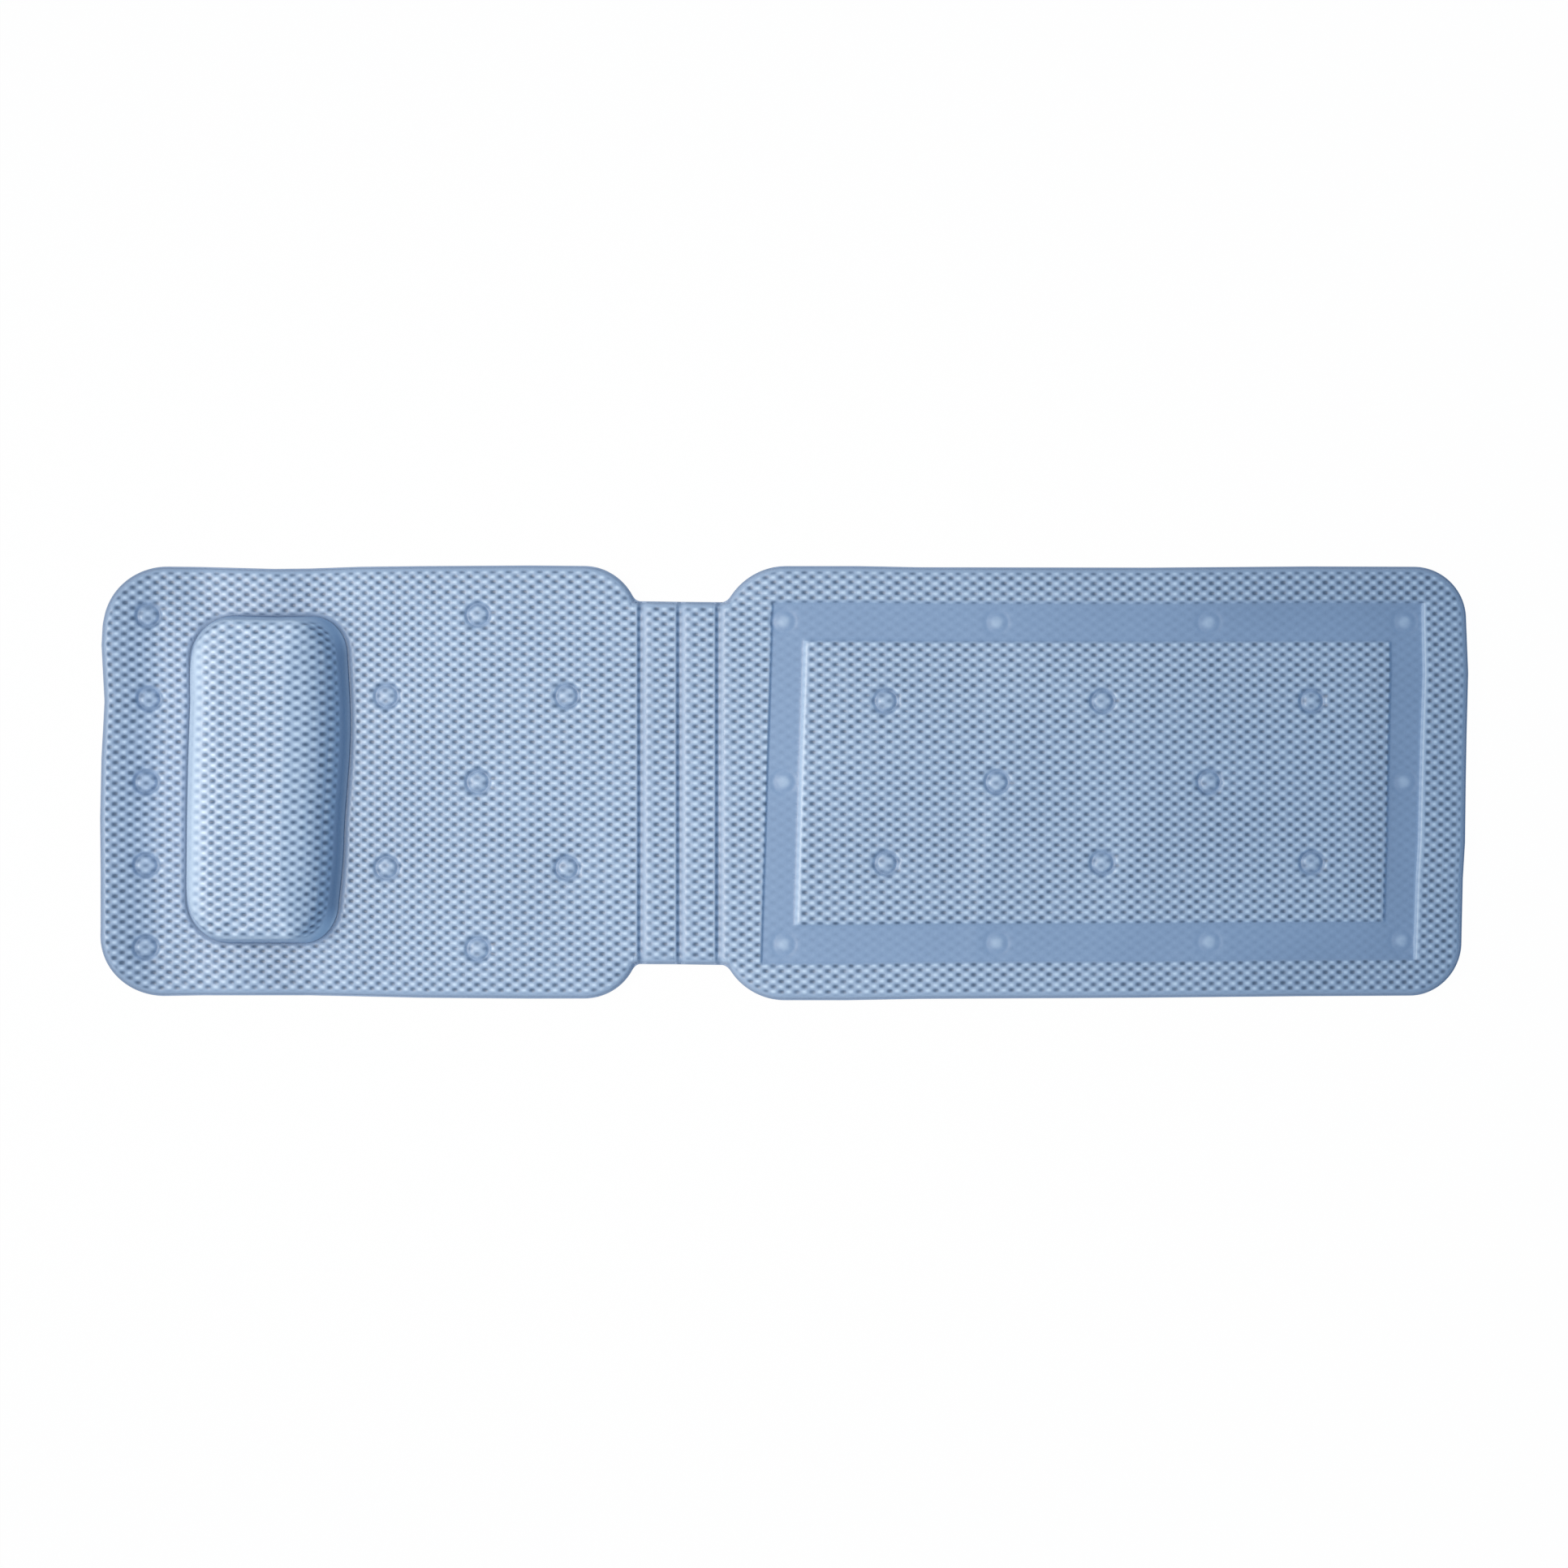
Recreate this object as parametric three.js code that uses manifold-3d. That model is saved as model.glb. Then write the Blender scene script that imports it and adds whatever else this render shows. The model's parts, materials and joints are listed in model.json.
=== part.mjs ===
// Full-length cushioned bath mat with a raised head pillow. It lies flat on its suction cups.
// Units are millimetres. X runs from the head end to the foot end, Y across the mat, Z up.
// The origin is under the middle of the mat, on the plane of the suction cup rims.

import * as THREE from 'three';
import { mergeVertices } from 'three/addons/utils/BufferGeometryUtils.js';
import Module from 'manifold-3d';

const wasm = await Module();
wasm.setup();

// Overall plan
const matLength = 1120;
const matWidth = 355;
const neckWidth = 298;
const backLength = 440.7;
const foldPitch = 32;
const ribCount = 2;

// Plan corners
const headCornerRadius = 52;
const backFoldCornerRadius = 45;
const seatFoldCornerRadius = 53;
const footCornerRadius = 43;
const ribCornerRadius = 3;

// Heights and walls of the padded sections
const cupHeight = 9;
const baseSheetThickness = 1;
const topSheetThickness = 1.2;
const flangeThickness = 1;
const flangeWidth = 1;
const shoulderRise = 4.9;
const shoulderWidth = 4;
const crownRise = 1.1;
const crownWidth = 16;
const ribCrownWidth = 7.5;
const seatGap = 0.3;

// Fold welds, round beads of fused sheet that the sections turn about
const foldWeldRadius = 1;

// Recessed channel round the raised centre pad of the seat
const channelFoldInset = 40;
const channelFootInset = 37.3;
const channelSideInset = 29.8;
const channelBandX = 27.6;
const channelBandY = 31.7;
const channelDepth = 3;
const channelWallRun = 3.5;
const channelCornerRadius = 4;

// Ring-shaped weld marks on the top, one over each suction cup
const ringInnerRadius = 6.4;
const ringOuterRadius = 10.4;
const ringDepth = 0.7;

// Head pillow
const pillowWidth = 132;
const pillowLength = 271;
const pillowHeadInset = 67;
const pillowCornerRadius = 37;
const pillowFlangeThickness = 1;
const pillowFlangeWidth = 3;
const pillowBulge = 2;
const pillowWallRise = 12;
const pillowShoulderRise = 34;
const pillowShoulderWidthX = 38;
const pillowShoulderWidthY = 15;
const pillowCrownRise = 4;

// Suction cups
const cupRimRadius = 11;
const cupLipWidth = 1.4;
const cupLipRise = 1;
const cupHollowDepth = 4.2;
const cupHollowRadius = 5;
const cupHollowShoulder = 3.2;
const cupStemRadius = 3.2;
const cupSkirtRise = 5.4;
const cupPlateRadius = 8.5;
const cupPlateThickness = 1;

// Cup layout. The shares are of the section's length or the row's reach.
const cupSideInset = 40.5;
const cupHeadInset = 36.7;
const headRowShares = [-1, -0.5, 0, 0.5, 1];
const backInnerRowShare = 0.515;
const backColumnShares = { first: 0.527, middle: 0.697, last: 0.863 };
const padRowShare = 0.573;
const padOuterColumnShares = [0.145, 0.514, 0.87];
const padInnerColumnShares = [0.334, 0.695];

// Facets
const cornerSteps = 5;
const smallCornerSteps = 2;
const shoulderSteps = 3;
const pillowShoulderSteps = 5;
const smallestCornerShare = 0.2;
const roundSides = 12;
const cutOverrun = 2;

// Places worked out from the sizes above
const headX = -matLength / 2;
const footX = matLength / 2;
const backFoldX = headX + backLength;
const seatFoldX = backFoldX + ribCount * foldPitch;
const lipOffset = foldWeldRadius + seatGap;
const sheetZ = cupHeight + baseSheetThickness;
const topZ = sheetZ + flangeThickness + shoulderRise + crownRise;
const channelZ = topZ - channelDepth;
const cupRowReach = matWidth / 2 - cupSideInset;

// Finishes
const embossedVinyl = { color: 0xa2b6cf, roughness: 0.55, metalness: 0 };
const smoothVinyl = { color: 0x9db3cd, roughness: 0.5, metalness: 0 };
const clearVinyl = { color: 0xc9d9e8, roughness: 0.25, metalness: 0 };
const foam = { color: 0xe8e4d8, roughness: 0.9, metalness: 0 };

const mat = new THREE.Group();

function addPiece(name, geometry, finish) {
  const mesh = new THREE.Mesh(geometry, new THREE.MeshStandardMaterial(finish));
  mesh.name = name;
  mat.add(mesh);
  return mesh;
}

// Closed mesh to solid and back

function solidOf(positions, triangles) {
  const whole = [];
  for (let i = 0; i < triangles.length; i += 3) {
    const [a, b, c] = [triangles[i], triangles[i + 1], triangles[i + 2]];
    if (a !== b && b !== c && c !== a) whole.push(a, b, c);
  }
  return new wasm.Manifold(new wasm.Mesh({
    numProp: 3,
    vertProperties: Float32Array.from(positions),
    triVerts: Uint32Array.from(whole),
  }));
}

function solidOfGeometry(geometry) {
  geometry.deleteAttribute('normal');
  geometry.deleteAttribute('uv');
  const merged = mergeVertices(geometry);
  return solidOf(merged.attributes.position.array, merged.index.array);
}

function geometryOf(solid) {
  const { vertProperties, triVerts } = solid.getMesh();
  const geometry = new THREE.BufferGeometry();
  geometry.setAttribute('position', new THREE.BufferAttribute(vertProperties, 3));
  geometry.setIndex(new THREE.BufferAttribute(triVerts, 1));
  geometry.computeVertexNormals();
  return geometry;
}

// Rounded rectangles, and solids lofted through a stack of them

function roundedRing(outline, insetX, insetY, z) {
  const { xMin, xMax, halfWidth, radiusMin, radiusMax, steps } = outline;
  const corners = [
    { edge: xMax, signX: 1, signY: 1, radius: radiusMax, start: 0 },
    { edge: xMin, signX: -1, signY: 1, radius: radiusMin, start: Math.PI / 2 },
    { edge: xMin, signX: -1, signY: -1, radius: radiusMin, start: Math.PI },
    { edge: xMax, signX: 1, signY: -1, radius: radiusMax, start: 1.5 * Math.PI },
  ];
  const ring = [];
  for (const { edge, signX, signY, radius, start } of corners) {
    const radiusX = Math.max(radius - insetX, radius * smallestCornerShare);
    const radiusY = Math.max(radius - insetY, radius * smallestCornerShare);
    const centreX = edge - signX * (insetX + radiusX);
    const centreY = signY * (halfWidth - insetY - radiusY);
    for (let step = 0; step <= steps; step += 1) {
      const angle = start + (step / steps) * (Math.PI / 2);
      ring.push([
        centreX + radiusX * Math.cos(angle),
        centreY + radiusY * Math.sin(angle),
        z,
      ]);
    }
  }
  return ring;
}

function loft(rings) {
  const count = rings[0].length;
  const triangles = [];
  for (let level = 0; level < rings.length - 1; level += 1) {
    for (let i = 0; i < count; i += 1) {
      const next = (i + 1) % count;
      const [low, lowNext] = [level * count + i, level * count + next];
      const [high, highNext] = [low + count, lowNext + count];
      triangles.push(low, lowNext, highNext, low, highNext, high);
    }
  }
  const last = (rings.length - 1) * count;
  for (let i = 1; i < count - 1; i += 1) {
    triangles.push(0, i + 1, i);
    triangles.push(last, last + i, last + i + 1);
  }
  return solidOf(rings.flat(2), triangles);
}

// The padded profile: a welded flange, a round shoulder and a low crown.
// A drop of one sheet thickness gives the underside of the top sheet, and a little more the foam.

function paddedStack(outline, drop, bottomZ) {
  const stack = [];
  const startInset = flangeWidth + drop;
  const shoulderZ = sheetZ + flangeThickness - drop;
  stack.push([startInset, bottomZ]);
  for (let step = 0; step <= shoulderSteps; step += 1) {
    const angle = (step / shoulderSteps) * (Math.PI / 2);
    const inset = startInset + shoulderWidth * (1 - Math.cos(angle));
    const z = shoulderZ + shoulderRise * Math.sin(angle);
    if (z > bottomZ) stack.push([inset, z]);
  }
  stack.push([startInset + shoulderWidth + outline.crownWidth, topZ - drop]);
  return stack.map(([inset, z]) => roundedRing(outline, inset, inset, z));
}

function paddedSkin(outline) {
  const flange = loft([
    roundedRing(outline, 0, 0, sheetZ),
    roundedRing(outline, 0, 0, sheetZ + flangeThickness),
  ]);
  return flange.add(loft(paddedStack(outline, 0, sheetZ)));
}

// A section's recess, where it has one, is cut from every layer at that layer's own drop.

function recessed(solid, recess, drop) {
  return recess ? solid.subtract(recess(drop)) : solid;
}

function topSheet(outline, recess) {
  const hollow = loft(paddedStack(outline, topSheetThickness, sheetZ - cutOverrun));
  const skin = recessed(paddedSkin(outline), recess, 0);
  return skin.subtract(recessed(hollow, recess, topSheetThickness));
}

function foamFill(outline, recess) {
  const drop = topSheetThickness + seatGap;
  return recessed(loft(paddedStack(outline, drop, sheetZ + seatGap)), recess, drop);
}

function baseSheet(outline) {
  return loft([
    roundedRing(outline, 0, 0, cupHeight),
    roundedRing(outline, 0, 0, sheetZ),
  ]);
}

// Weld rings are cut into the top only, so the sheet stays whole beneath them.

function weldRings(cups) {
  const middle = (ringInnerRadius + ringOuterRadius) / 2;
  const profile = [
    [middle, -ringDepth],
    [ringOuterRadius, 0],
    [ringOuterRadius, cutOverrun],
    [ringInnerRadius, cutOverrun],
    [ringInnerRadius, 0],
    [middle, -ringDepth],
  ].map(([radius, height]) => new THREE.Vector2(radius, height));
  const ring = new THREE.LatheGeometry(profile, roundSides).rotateX(Math.PI / 2);
  const rings = cups.map(({ x, y, z }) => solidOfGeometry(ring.clone().translate(x, y, z)));
  return wasm.Manifold.union(rings);
}

// The seat's channel is a trough with sloping walls round the centre pad.

function channelOutline(bandX, bandY) {
  return {
    xMin: seatFoldX + channelFoldInset + bandX,
    xMax: footX - channelFootInset - bandX,
    halfWidth: matWidth / 2 - channelSideInset - bandY,
    radiusMin: channelCornerRadius,
    radiusMax: channelCornerRadius,
    steps: smallCornerSteps,
  };
}

function channelWall(outline, side, drop) {
  const floorZ = channelZ - drop;
  const rings = [floorZ, topZ + cutOverrun].map((z) => {
    const spread = channelWallRun * ((z - floorZ) / channelDepth - 0.5) + drop;
    return roundedRing(outline, -side * spread, -side * spread, z);
  });
  return loft(rings);
}

function channelCut(drop) {
  const outer = channelWall(channelOutline(0, 0), 1, drop);
  const inner = channelWall(channelOutline(channelBandX, channelBandY), -1, drop);
  return outer.subtract(inner);
}

// Sections, each a top sheet, a foam fill and a base sheet, joined at the fold welds

function addSection(name, outline, cups = [], recess = null) {
  const sheet = topSheet(outline, recess);
  const marked = cups.length > 0 ? sheet.subtract(weldRings(cups)) : sheet;
  addPiece(`${name}_top_sheet`, geometryOf(marked), embossedVinyl);
  addPiece(`${name}_foam`, geometryOf(foamFill(outline, recess)), foam);
  addPiece(`${name}_base_sheet`, geometryOf(baseSheet(outline)), smoothVinyl);
}

const backOutline = {
  xMin: headX,
  xMax: backFoldX - lipOffset,
  halfWidth: matWidth / 2,
  radiusMin: headCornerRadius,
  radiusMax: backFoldCornerRadius,
  steps: cornerSteps,
  crownWidth,
};

const seatOutline = {
  xMin: seatFoldX + lipOffset,
  xMax: footX,
  halfWidth: matWidth / 2,
  radiusMin: seatFoldCornerRadius,
  radiusMax: footCornerRadius,
  steps: cornerSteps,
  crownWidth,
};

function ribOutline(index) {
  return {
    xMin: backFoldX + index * foldPitch + lipOffset,
    xMax: backFoldX + (index + 1) * foldPitch - lipOffset,
    halfWidth: neckWidth / 2,
    radiusMin: ribCornerRadius,
    radiusMax: ribCornerRadius,
    steps: smallCornerSteps,
    crownWidth: ribCrownWidth,
  };
}

function addFoldWelds() {
  for (let index = 0; index <= ribCount; index += 1) {
    const bead = new THREE.CylinderGeometry(
      foldWeldRadius, foldWeldRadius, neckWidth, roundSides,
    );
    const mesh = addPiece(`fold_weld_${index + 1}`, bead, smoothVinyl);
    mesh.position.set(backFoldX + index * foldPitch, 0, sheetZ);
  }
}

// Suction cup: a hollow skirt, a short stem and a round plate welded to the base sheet

function cupGeometry() {
  const plateZ = cupHeight - seatGap;
  const profile = [
    [0, cupHollowDepth],
    [cupHollowRadius, cupHollowShoulder],
    [cupRimRadius - cupLipWidth, 0],
    [cupRimRadius, 0],
    [cupRimRadius, cupLipRise],
    [cupStemRadius, cupSkirtRise],
    [cupStemRadius, plateZ - cupPlateThickness],
    [cupPlateRadius, plateZ - cupPlateThickness],
    [cupPlateRadius, plateZ],
    [0, plateZ],
  ].map(([radius, height]) => new THREE.Vector2(radius, height));
  return new THREE.LatheGeometry(profile, roundSides).rotateX(Math.PI / 2);
}

function addCups(name, cups) {
  cups.forEach(({ x, y }, index) => {
    const cup = addPiece(`${name}_suction_cup_${index + 1}`, cupGeometry(), clearVinyl);
    cup.position.set(x, y, 0);
  });
}

function column(x, rows, z) {
  return rows.map((y) => ({ x, y, z }));
}

function backCups() {
  const { first, middle, last } = backColumnShares;
  const innerRow = cupRowReach * backInnerRowShare;
  const at = (share) => headX + share * backLength;
  return [
    ...column(headX + cupHeadInset, headRowShares.map((share) => share * cupRowReach), topZ),
    ...column(at(first), [-innerRow, innerRow], topZ),
    ...column(at(middle), [-cupRowReach, 0, cupRowReach], topZ),
    ...column(at(last), [-innerRow, innerRow], topZ),
  ];
}

function seatCups() {
  const pad = channelOutline(channelBandX, channelBandY);
  const channel = channelOutline(channelBandX / 2, channelBandY / 2);
  const padRow = pad.halfWidth * padRowShare;
  const channelRow = channel.halfWidth;
  const at = (share) => pad.xMin + share * (pad.xMax - pad.xMin);
  return [
    ...column(channel.xMin, [-channelRow, 0, channelRow], channelZ),
    ...padOuterColumnShares.flatMap((share) => column(at(share), [-padRow, padRow], topZ)),
    ...padInnerColumnShares.flatMap((share) => column(at(share), [0], topZ)),
    ...padInnerColumnShares.flatMap((share) => column(at(share), [-channelRow, channelRow], channelZ)),
    ...column(channel.xMax, [-channelRow, 0, channelRow], channelZ),
  ];
}

// Head pillow: a welded flange, a drawn-in foot, full sides, round shoulders and a low crown

function pillowOutline() {
  const xMin = headX + pillowHeadInset;
  return {
    xMin,
    xMax: xMin + pillowWidth,
    halfWidth: pillowLength / 2,
    radiusMin: pillowCornerRadius,
    radiusMax: pillowCornerRadius,
    steps: cornerSteps,
  };
}

function pillowStack(drop, bottomZ) {
  const footZ = topZ + seatGap + pillowFlangeThickness;
  const wallZ = footZ + pillowWallRise;
  const wallInset = pillowFlangeWidth - pillowBulge + drop;
  const stack = [
    [pillowFlangeWidth + drop, pillowFlangeWidth + drop, bottomZ],
    [pillowFlangeWidth + drop, pillowFlangeWidth + drop, footZ],
    [wallInset, wallInset, (footZ + wallZ) / 2],
  ];
  for (let step = 0; step <= pillowShoulderSteps; step += 1) {
    const angle = (step / pillowShoulderSteps) * (Math.PI / 2);
    stack.push([
      wallInset + pillowShoulderWidthX * (1 - Math.cos(angle)),
      wallInset + pillowShoulderWidthY * (1 - Math.cos(angle)),
      wallZ - drop + pillowShoulderRise * Math.sin(angle),
    ]);
  }
  const shoulderInsetX = wallInset + pillowShoulderWidthX;
  const shoulderInsetY = wallInset + pillowShoulderWidthY;
  const crownReach = (pillowWidth / 2 - shoulderInsetX) / 2;
  stack.push([
    shoulderInsetX + crownReach,
    shoulderInsetY + 2 * crownReach,
    wallZ - drop + pillowShoulderRise + pillowCrownRise,
  ]);
  const outline = pillowOutline();
  return stack.map(([insetX, insetY, z]) => roundedRing(outline, insetX, insetY, z));
}

function addPillow() {
  const outline = pillowOutline();
  const flangeZ = topZ + seatGap;
  const flange = loft([
    roundedRing(outline, 0, 0, flangeZ),
    roundedRing(outline, 0, 0, flangeZ + pillowFlangeThickness),
  ]);
  const cover = flange
    .add(loft(pillowStack(0, flangeZ)))
    .subtract(loft(pillowStack(topSheetThickness, flangeZ - cutOverrun)));
  addPiece('pillow_cover', geometryOf(cover), embossedVinyl);
  const fill = loft(pillowStack(topSheetThickness + seatGap, flangeZ));
  addPiece('pillow_foam', geometryOf(fill), foam);
}

addSection('back', backOutline, backCups());
addPillow();
for (let index = 0; index < ribCount; index += 1) {
  addSection(`neck_rib_${index + 1}`, ribOutline(index));
}
addSection('seat', seatOutline, seatCups(), channelCut);
addFoldWelds();
addCups('back', backCups());
addCups('seat', seatCups());

export default mat;
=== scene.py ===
import json
import math
from functools import partialmethod

import bpy
import numpy as np
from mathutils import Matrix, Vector
from mathutils.geometry import delaunay_2d_cdt


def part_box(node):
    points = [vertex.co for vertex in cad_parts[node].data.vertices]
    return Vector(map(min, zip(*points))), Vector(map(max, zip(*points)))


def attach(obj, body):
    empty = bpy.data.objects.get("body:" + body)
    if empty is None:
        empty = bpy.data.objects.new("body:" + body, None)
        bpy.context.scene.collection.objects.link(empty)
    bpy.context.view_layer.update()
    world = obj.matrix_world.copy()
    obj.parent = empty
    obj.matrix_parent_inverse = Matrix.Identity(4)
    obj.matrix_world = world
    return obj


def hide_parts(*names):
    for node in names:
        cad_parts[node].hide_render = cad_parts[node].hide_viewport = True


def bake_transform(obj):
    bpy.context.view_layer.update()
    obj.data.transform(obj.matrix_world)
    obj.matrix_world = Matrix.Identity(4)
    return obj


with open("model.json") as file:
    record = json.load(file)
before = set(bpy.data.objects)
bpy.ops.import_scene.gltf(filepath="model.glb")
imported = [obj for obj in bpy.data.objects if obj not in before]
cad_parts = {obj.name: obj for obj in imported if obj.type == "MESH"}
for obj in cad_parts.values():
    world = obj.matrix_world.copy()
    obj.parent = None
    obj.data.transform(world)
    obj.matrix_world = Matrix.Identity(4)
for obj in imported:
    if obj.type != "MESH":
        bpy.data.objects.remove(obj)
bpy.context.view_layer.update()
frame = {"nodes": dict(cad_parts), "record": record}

# Lengths are metres and angles radians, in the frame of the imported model. The head is at low X.
MM = 0.001

# Plan corners of the sections, as in the construction
HEAD_RADIUS = 52 * MM
BACK_FOLD_RADIUS = 45 * MM
SEAT_FOLD_RADIUS = 53 * MM
FOOT_RADIUS = 43 * MM
RIB_RADIUS = 0.8 * MM
SMALLEST_CORNER_SHARE = 0.2

# Padded profile from the edge inwards
FLANGE_WIDTH = 1.3 * MM
FLANGE_THICKNESS = 1.0 * MM
SHOULDER_WIDTH = 4.6 * MM
SHOULDER_SHARE = 0.82
CROWN_WIDTH = 16 * MM
RIB_CROWN_WIDTH = 8 * MM
RIM_ROUNDING = 0.12 * MM
SKIN_THICKNESS = 3.44 * MM
FILL_GAP = 0.3 * MM

# Valleys along the folds: the bank that faces the foot and the bank that faces the head
VALLEY_DEPTH = 2.3 * MM
FOOT_FACING_BANK = 3.2 * MM
HEAD_FACING_BANK = 6.4 * MM
NECK_BLEND = 8 * MM
SHELF_START = 2.2 * MM
SHELF_END = 2.9 * MM
FOLD_LIP = 1.3 * MM
FAR = 30 * MM

# Seat channel, from the section's edges. A run is half a wall's width at its low X, high X and sides.
CHANNEL_FOLD_INSET = 40 * MM
CHANNEL_FOOT_INSET = 37.3 * MM
CHANNEL_SIDE_INSET = 29.8 * MM
CHANNEL_BAND_X = 27.6 * MM
CHANNEL_BAND_Y = 31.7 * MM
CHANNEL_DEPTH = 2.2 * MM
CHANNEL_RADIUS = 2 * MM
TROUGH_RUN = (1.2 * MM, 1.2 * MM, 2.4 * MM)
PAD_RUN = (2.4 * MM, 1.8 * MM, 2.4 * MM)
FAINT_RUN = (1.2 * MM, 1.2 * MM, 1.2 * MM)
CHANNEL_WEAVE_SHARE = 0.13
CHANNEL_FOLD_LEAN = 0.032
CHANNEL_FOOT_LEAN = 0.012
WALL_SMOOTH_BAND = 3.0 * MM
# Painted light on the smooth channel walls that face the head and the lamp
WALL_PAINTED_LIGHT = 0.6

# Smooth margins, before the weave starts: at free edges, and past a fold's axis
SMOOTH_AT_EDGE = 4.6 * MM
MARGIN_RUN = 1.6 * MM
FOLD_WEAVE_START = 3.5 * MM
FOLD_WEAVE_FULL = 11 * MM
# Painted light on a fold's smooth bank that faces the head and the lamp
FOLD_PAINTED_LIGHT = 0.13

# The free head edge, which curls up a little
HEAD_CURL = 15 * MM
HEAD_CURL_START = -12 * MM
HEAD_CURL_REACH = 50 * MM

# How the soft mat's edges wander: place along the edge, and millimetres moved up in plan or footwards.
# A run is where the wander starts and is full, from the middle outwards.
END_RUN = (0.44, 0.55)
SIDE_RUN = (0.04, 0.165)
TOP_EDGE = np.array([
    (-0.56, 0), (-0.48, -0.7), (-0.42, -2.4), (-0.39, -2.0), (-0.35, -0.6), (-0.30, 0), (-0.21, 0.5),
    (-0.15, 0), (-0.09, -0.9), (-0.05, -1.3), (0, 0), (0.06, 0), (0.11, -1.0), (0.30, -1.3),
    (0.43, -0.3), (0.56, -0.7),
]).T
BOTTOM_EDGE = np.array([
    (-0.56, 0.7), (-0.48, 2.0), (-0.39, 2.0), (-0.35, 1.2), (-0.30, 0), (-0.21, -0.7), (-0.15, -0.6),
    (-0.09, -1.0), (-0.05, -1.6), (0, -2.0), (0.05, -2.0), (0.11, -0.9), (0.29, 0), (0.42, 1.3),
    (0.56, 2.0),
]).T
HEAD_EDGE = np.array([
    (-0.15, -2.6), (-0.12, -2.0), (-0.075, -2.0), (-0.03, -2.4), (0.02, -1.3), (0.042, 0),
    (0.066, 1.2), (0.112, -1.2), (0.135, 0),
]).T
FOOT_EDGE = np.array([
    (-0.15, -4.6), (-0.12, -4.0), (-0.08, -3.1), (-0.05, -1.3), (0, -0.7), (0.04, 0), (0.066, 0.7),
    (0.09, 1.3), (0.135, -0.5),
]).T

# Slow ridges and hollows, in millimetres: centre, half-sizes across and along, rise, turn in degrees
RIPPLES = {
    "back_section": [
        (-480, 160, 18, 24, -2.2, 0),
        (-425, 160, 22, 26, 2.0, 0),
        (-458, -160, 22, 24, 2.2, 0),
    ],
    "seat_section": [
        (165, -64, 8, 75, 0.7, -8),
        (360, -160, 45, 35, 1.8, 0),
        (60, 50, 60, 50, 0.8, 20),
        (290, 30, 50, 60, 0.8, -15),
    ],
}

# Painted shade and painted light for the soft mat's slow slopes under the lamp: the same, but for the
# rise how much deeper the painted tone is (lighter below zero)
PAINTED_SHADING_MOUNDS = [
    (-548, 0, 24, 400, 0.75, 0),
    (-505, 160, 26, 30, 0.75, 0),
    (-400, 160, 20, 25, 0.40, 0),
    (-348, 160, 22, 25, -0.40, 0),
    (-515, -160, 22, 24, 0.50, 0),
    (-458, -160, 22, 24, -0.45, 0),
    (-412, -160, 18, 24, 0.70, 0),
    (-330, -70, 50, 90, 0.35, 0),
    (-195, -90, 40, 70, 0.30, 0),
    (435, 155, 110, 30, 0.75, 0),
    (140, -162, 150, 25, -0.35, 0),
    (440, -160, 70, 30, 0.50, 0),
    (165, -20, 18, 90, -0.55, -8),
    (270, -70, 22, 70, -0.45, -8),
    (490, 0, 20, 130, 0.55, 0),
    (525, 0, 40, 300, 0.45, 0),
    (-103, 0, 12, 200, 0.20, 0),
]

# Weld ring over each suction cup: a round groove with a low dome inside it
RING_GROOVE_RADIUS = 9.0 * MM
RING_GROOVE_WIDTH = 1.8 * MM
RING_GROOVE_DEPTH = 2.4 * MM
CHANNEL_RING_SHARE = 0.2
# Painted highlight in the middle of weld rings on the channel's floor
CHANNEL_RING_PAINTED_LIGHT = 0.38
RING_REACH = 12.8 * MM
RING_DOME_RADIUS = 6.0 * MM
RING_DOME_RISE = 0.5 * MM
RING_SMOOTH_WIDTH = 1.2 * RING_GROOVE_WIDTH
RING_SMOOTHING = 0.75
DOME_SMOOTHING = 0.4

# Embossed basket weave, two pits to each cell. Its period in millimetres changes along X.
WEAVE_ROW_PERIOD = 8.47 * MM
WEAVE_ROW_SHIFT = 1.07 * MM
WEAVE_PERIODS = np.array([
    (-0.56, 12.3), (-0.40, 12.6), (-0.36, 11.3), (-0.29, 11.3), (-0.25, 12.8), (0.02, 12.8),
    (0.30, 12.1), (0.56, 11.0),
]).T
WEAVE_TABLE_MARGIN = 0.05
WEAVE_TABLE_ROWS = 4000
WEAVE_DEPTH = 0.95 * MM
PIT_POWER = 1.1
BAR_POWER = 1.6
BAR_SHARE = 0.45
WEAVE_MEAN_SHARE = 0.15
COLUMNS_PER_CELL = 8
ROWS_PER_CELL = 6

# Mesh point spacing
FINE = 1.5 * MM
COARSE = 6 * MM
WALL_CLEARANCE = 2.6 * MM

# Pillow: plan corners, and flanks as pairs of inset and height in millimetres
PILLOW_HEAD_RADIUS = 38 * MM
PILLOW_BACK_RADIUS = 31 * MM
PILLOW_HEAD_FLANK = [
    (3.0, -1.4), (3.4, 2), (7.0, 36), (7.8, 41), (9.4, 45), (12, 47.8), (17, 49.6), (27, 50.6),
    (63.5, 51),
]
PILLOW_BACK_FLANK = [
    (1.2, -1.4), (2.9, -0.6), (4.6, 1.2), (6.6, 4.6), (8.6, 10), (9.9, 16.2), (11.6, 21),
    (14, 26.6), (18.5, 34.2), (22, 38.2), (26, 41.7), (33, 46.3), (41, 49.2), (49, 50.6),
    (63.5, 51),
]
PILLOW_END_FLANK = [
    (-0.6, -1.4), (-0.1, 2), (3.4, 40.5), (4.0, 45), (5.1, 48), (7.3, 49.8), (12, 50.6),
    (28, 50.9), (60, 51),
]
FLANK_SOFTENING = 1.2 * MM
FLANK_STEP = 0.25 * MM
PILLOW_ROWS = 108
PILLOW_COLUMNS = 640
PILLOW_COLUMN_PERIOD = 13.5 * MM
PILLOW_BOW = 4.3 * MM
PILLOW_BOW_MIDDLE = 40 * MM
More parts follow.
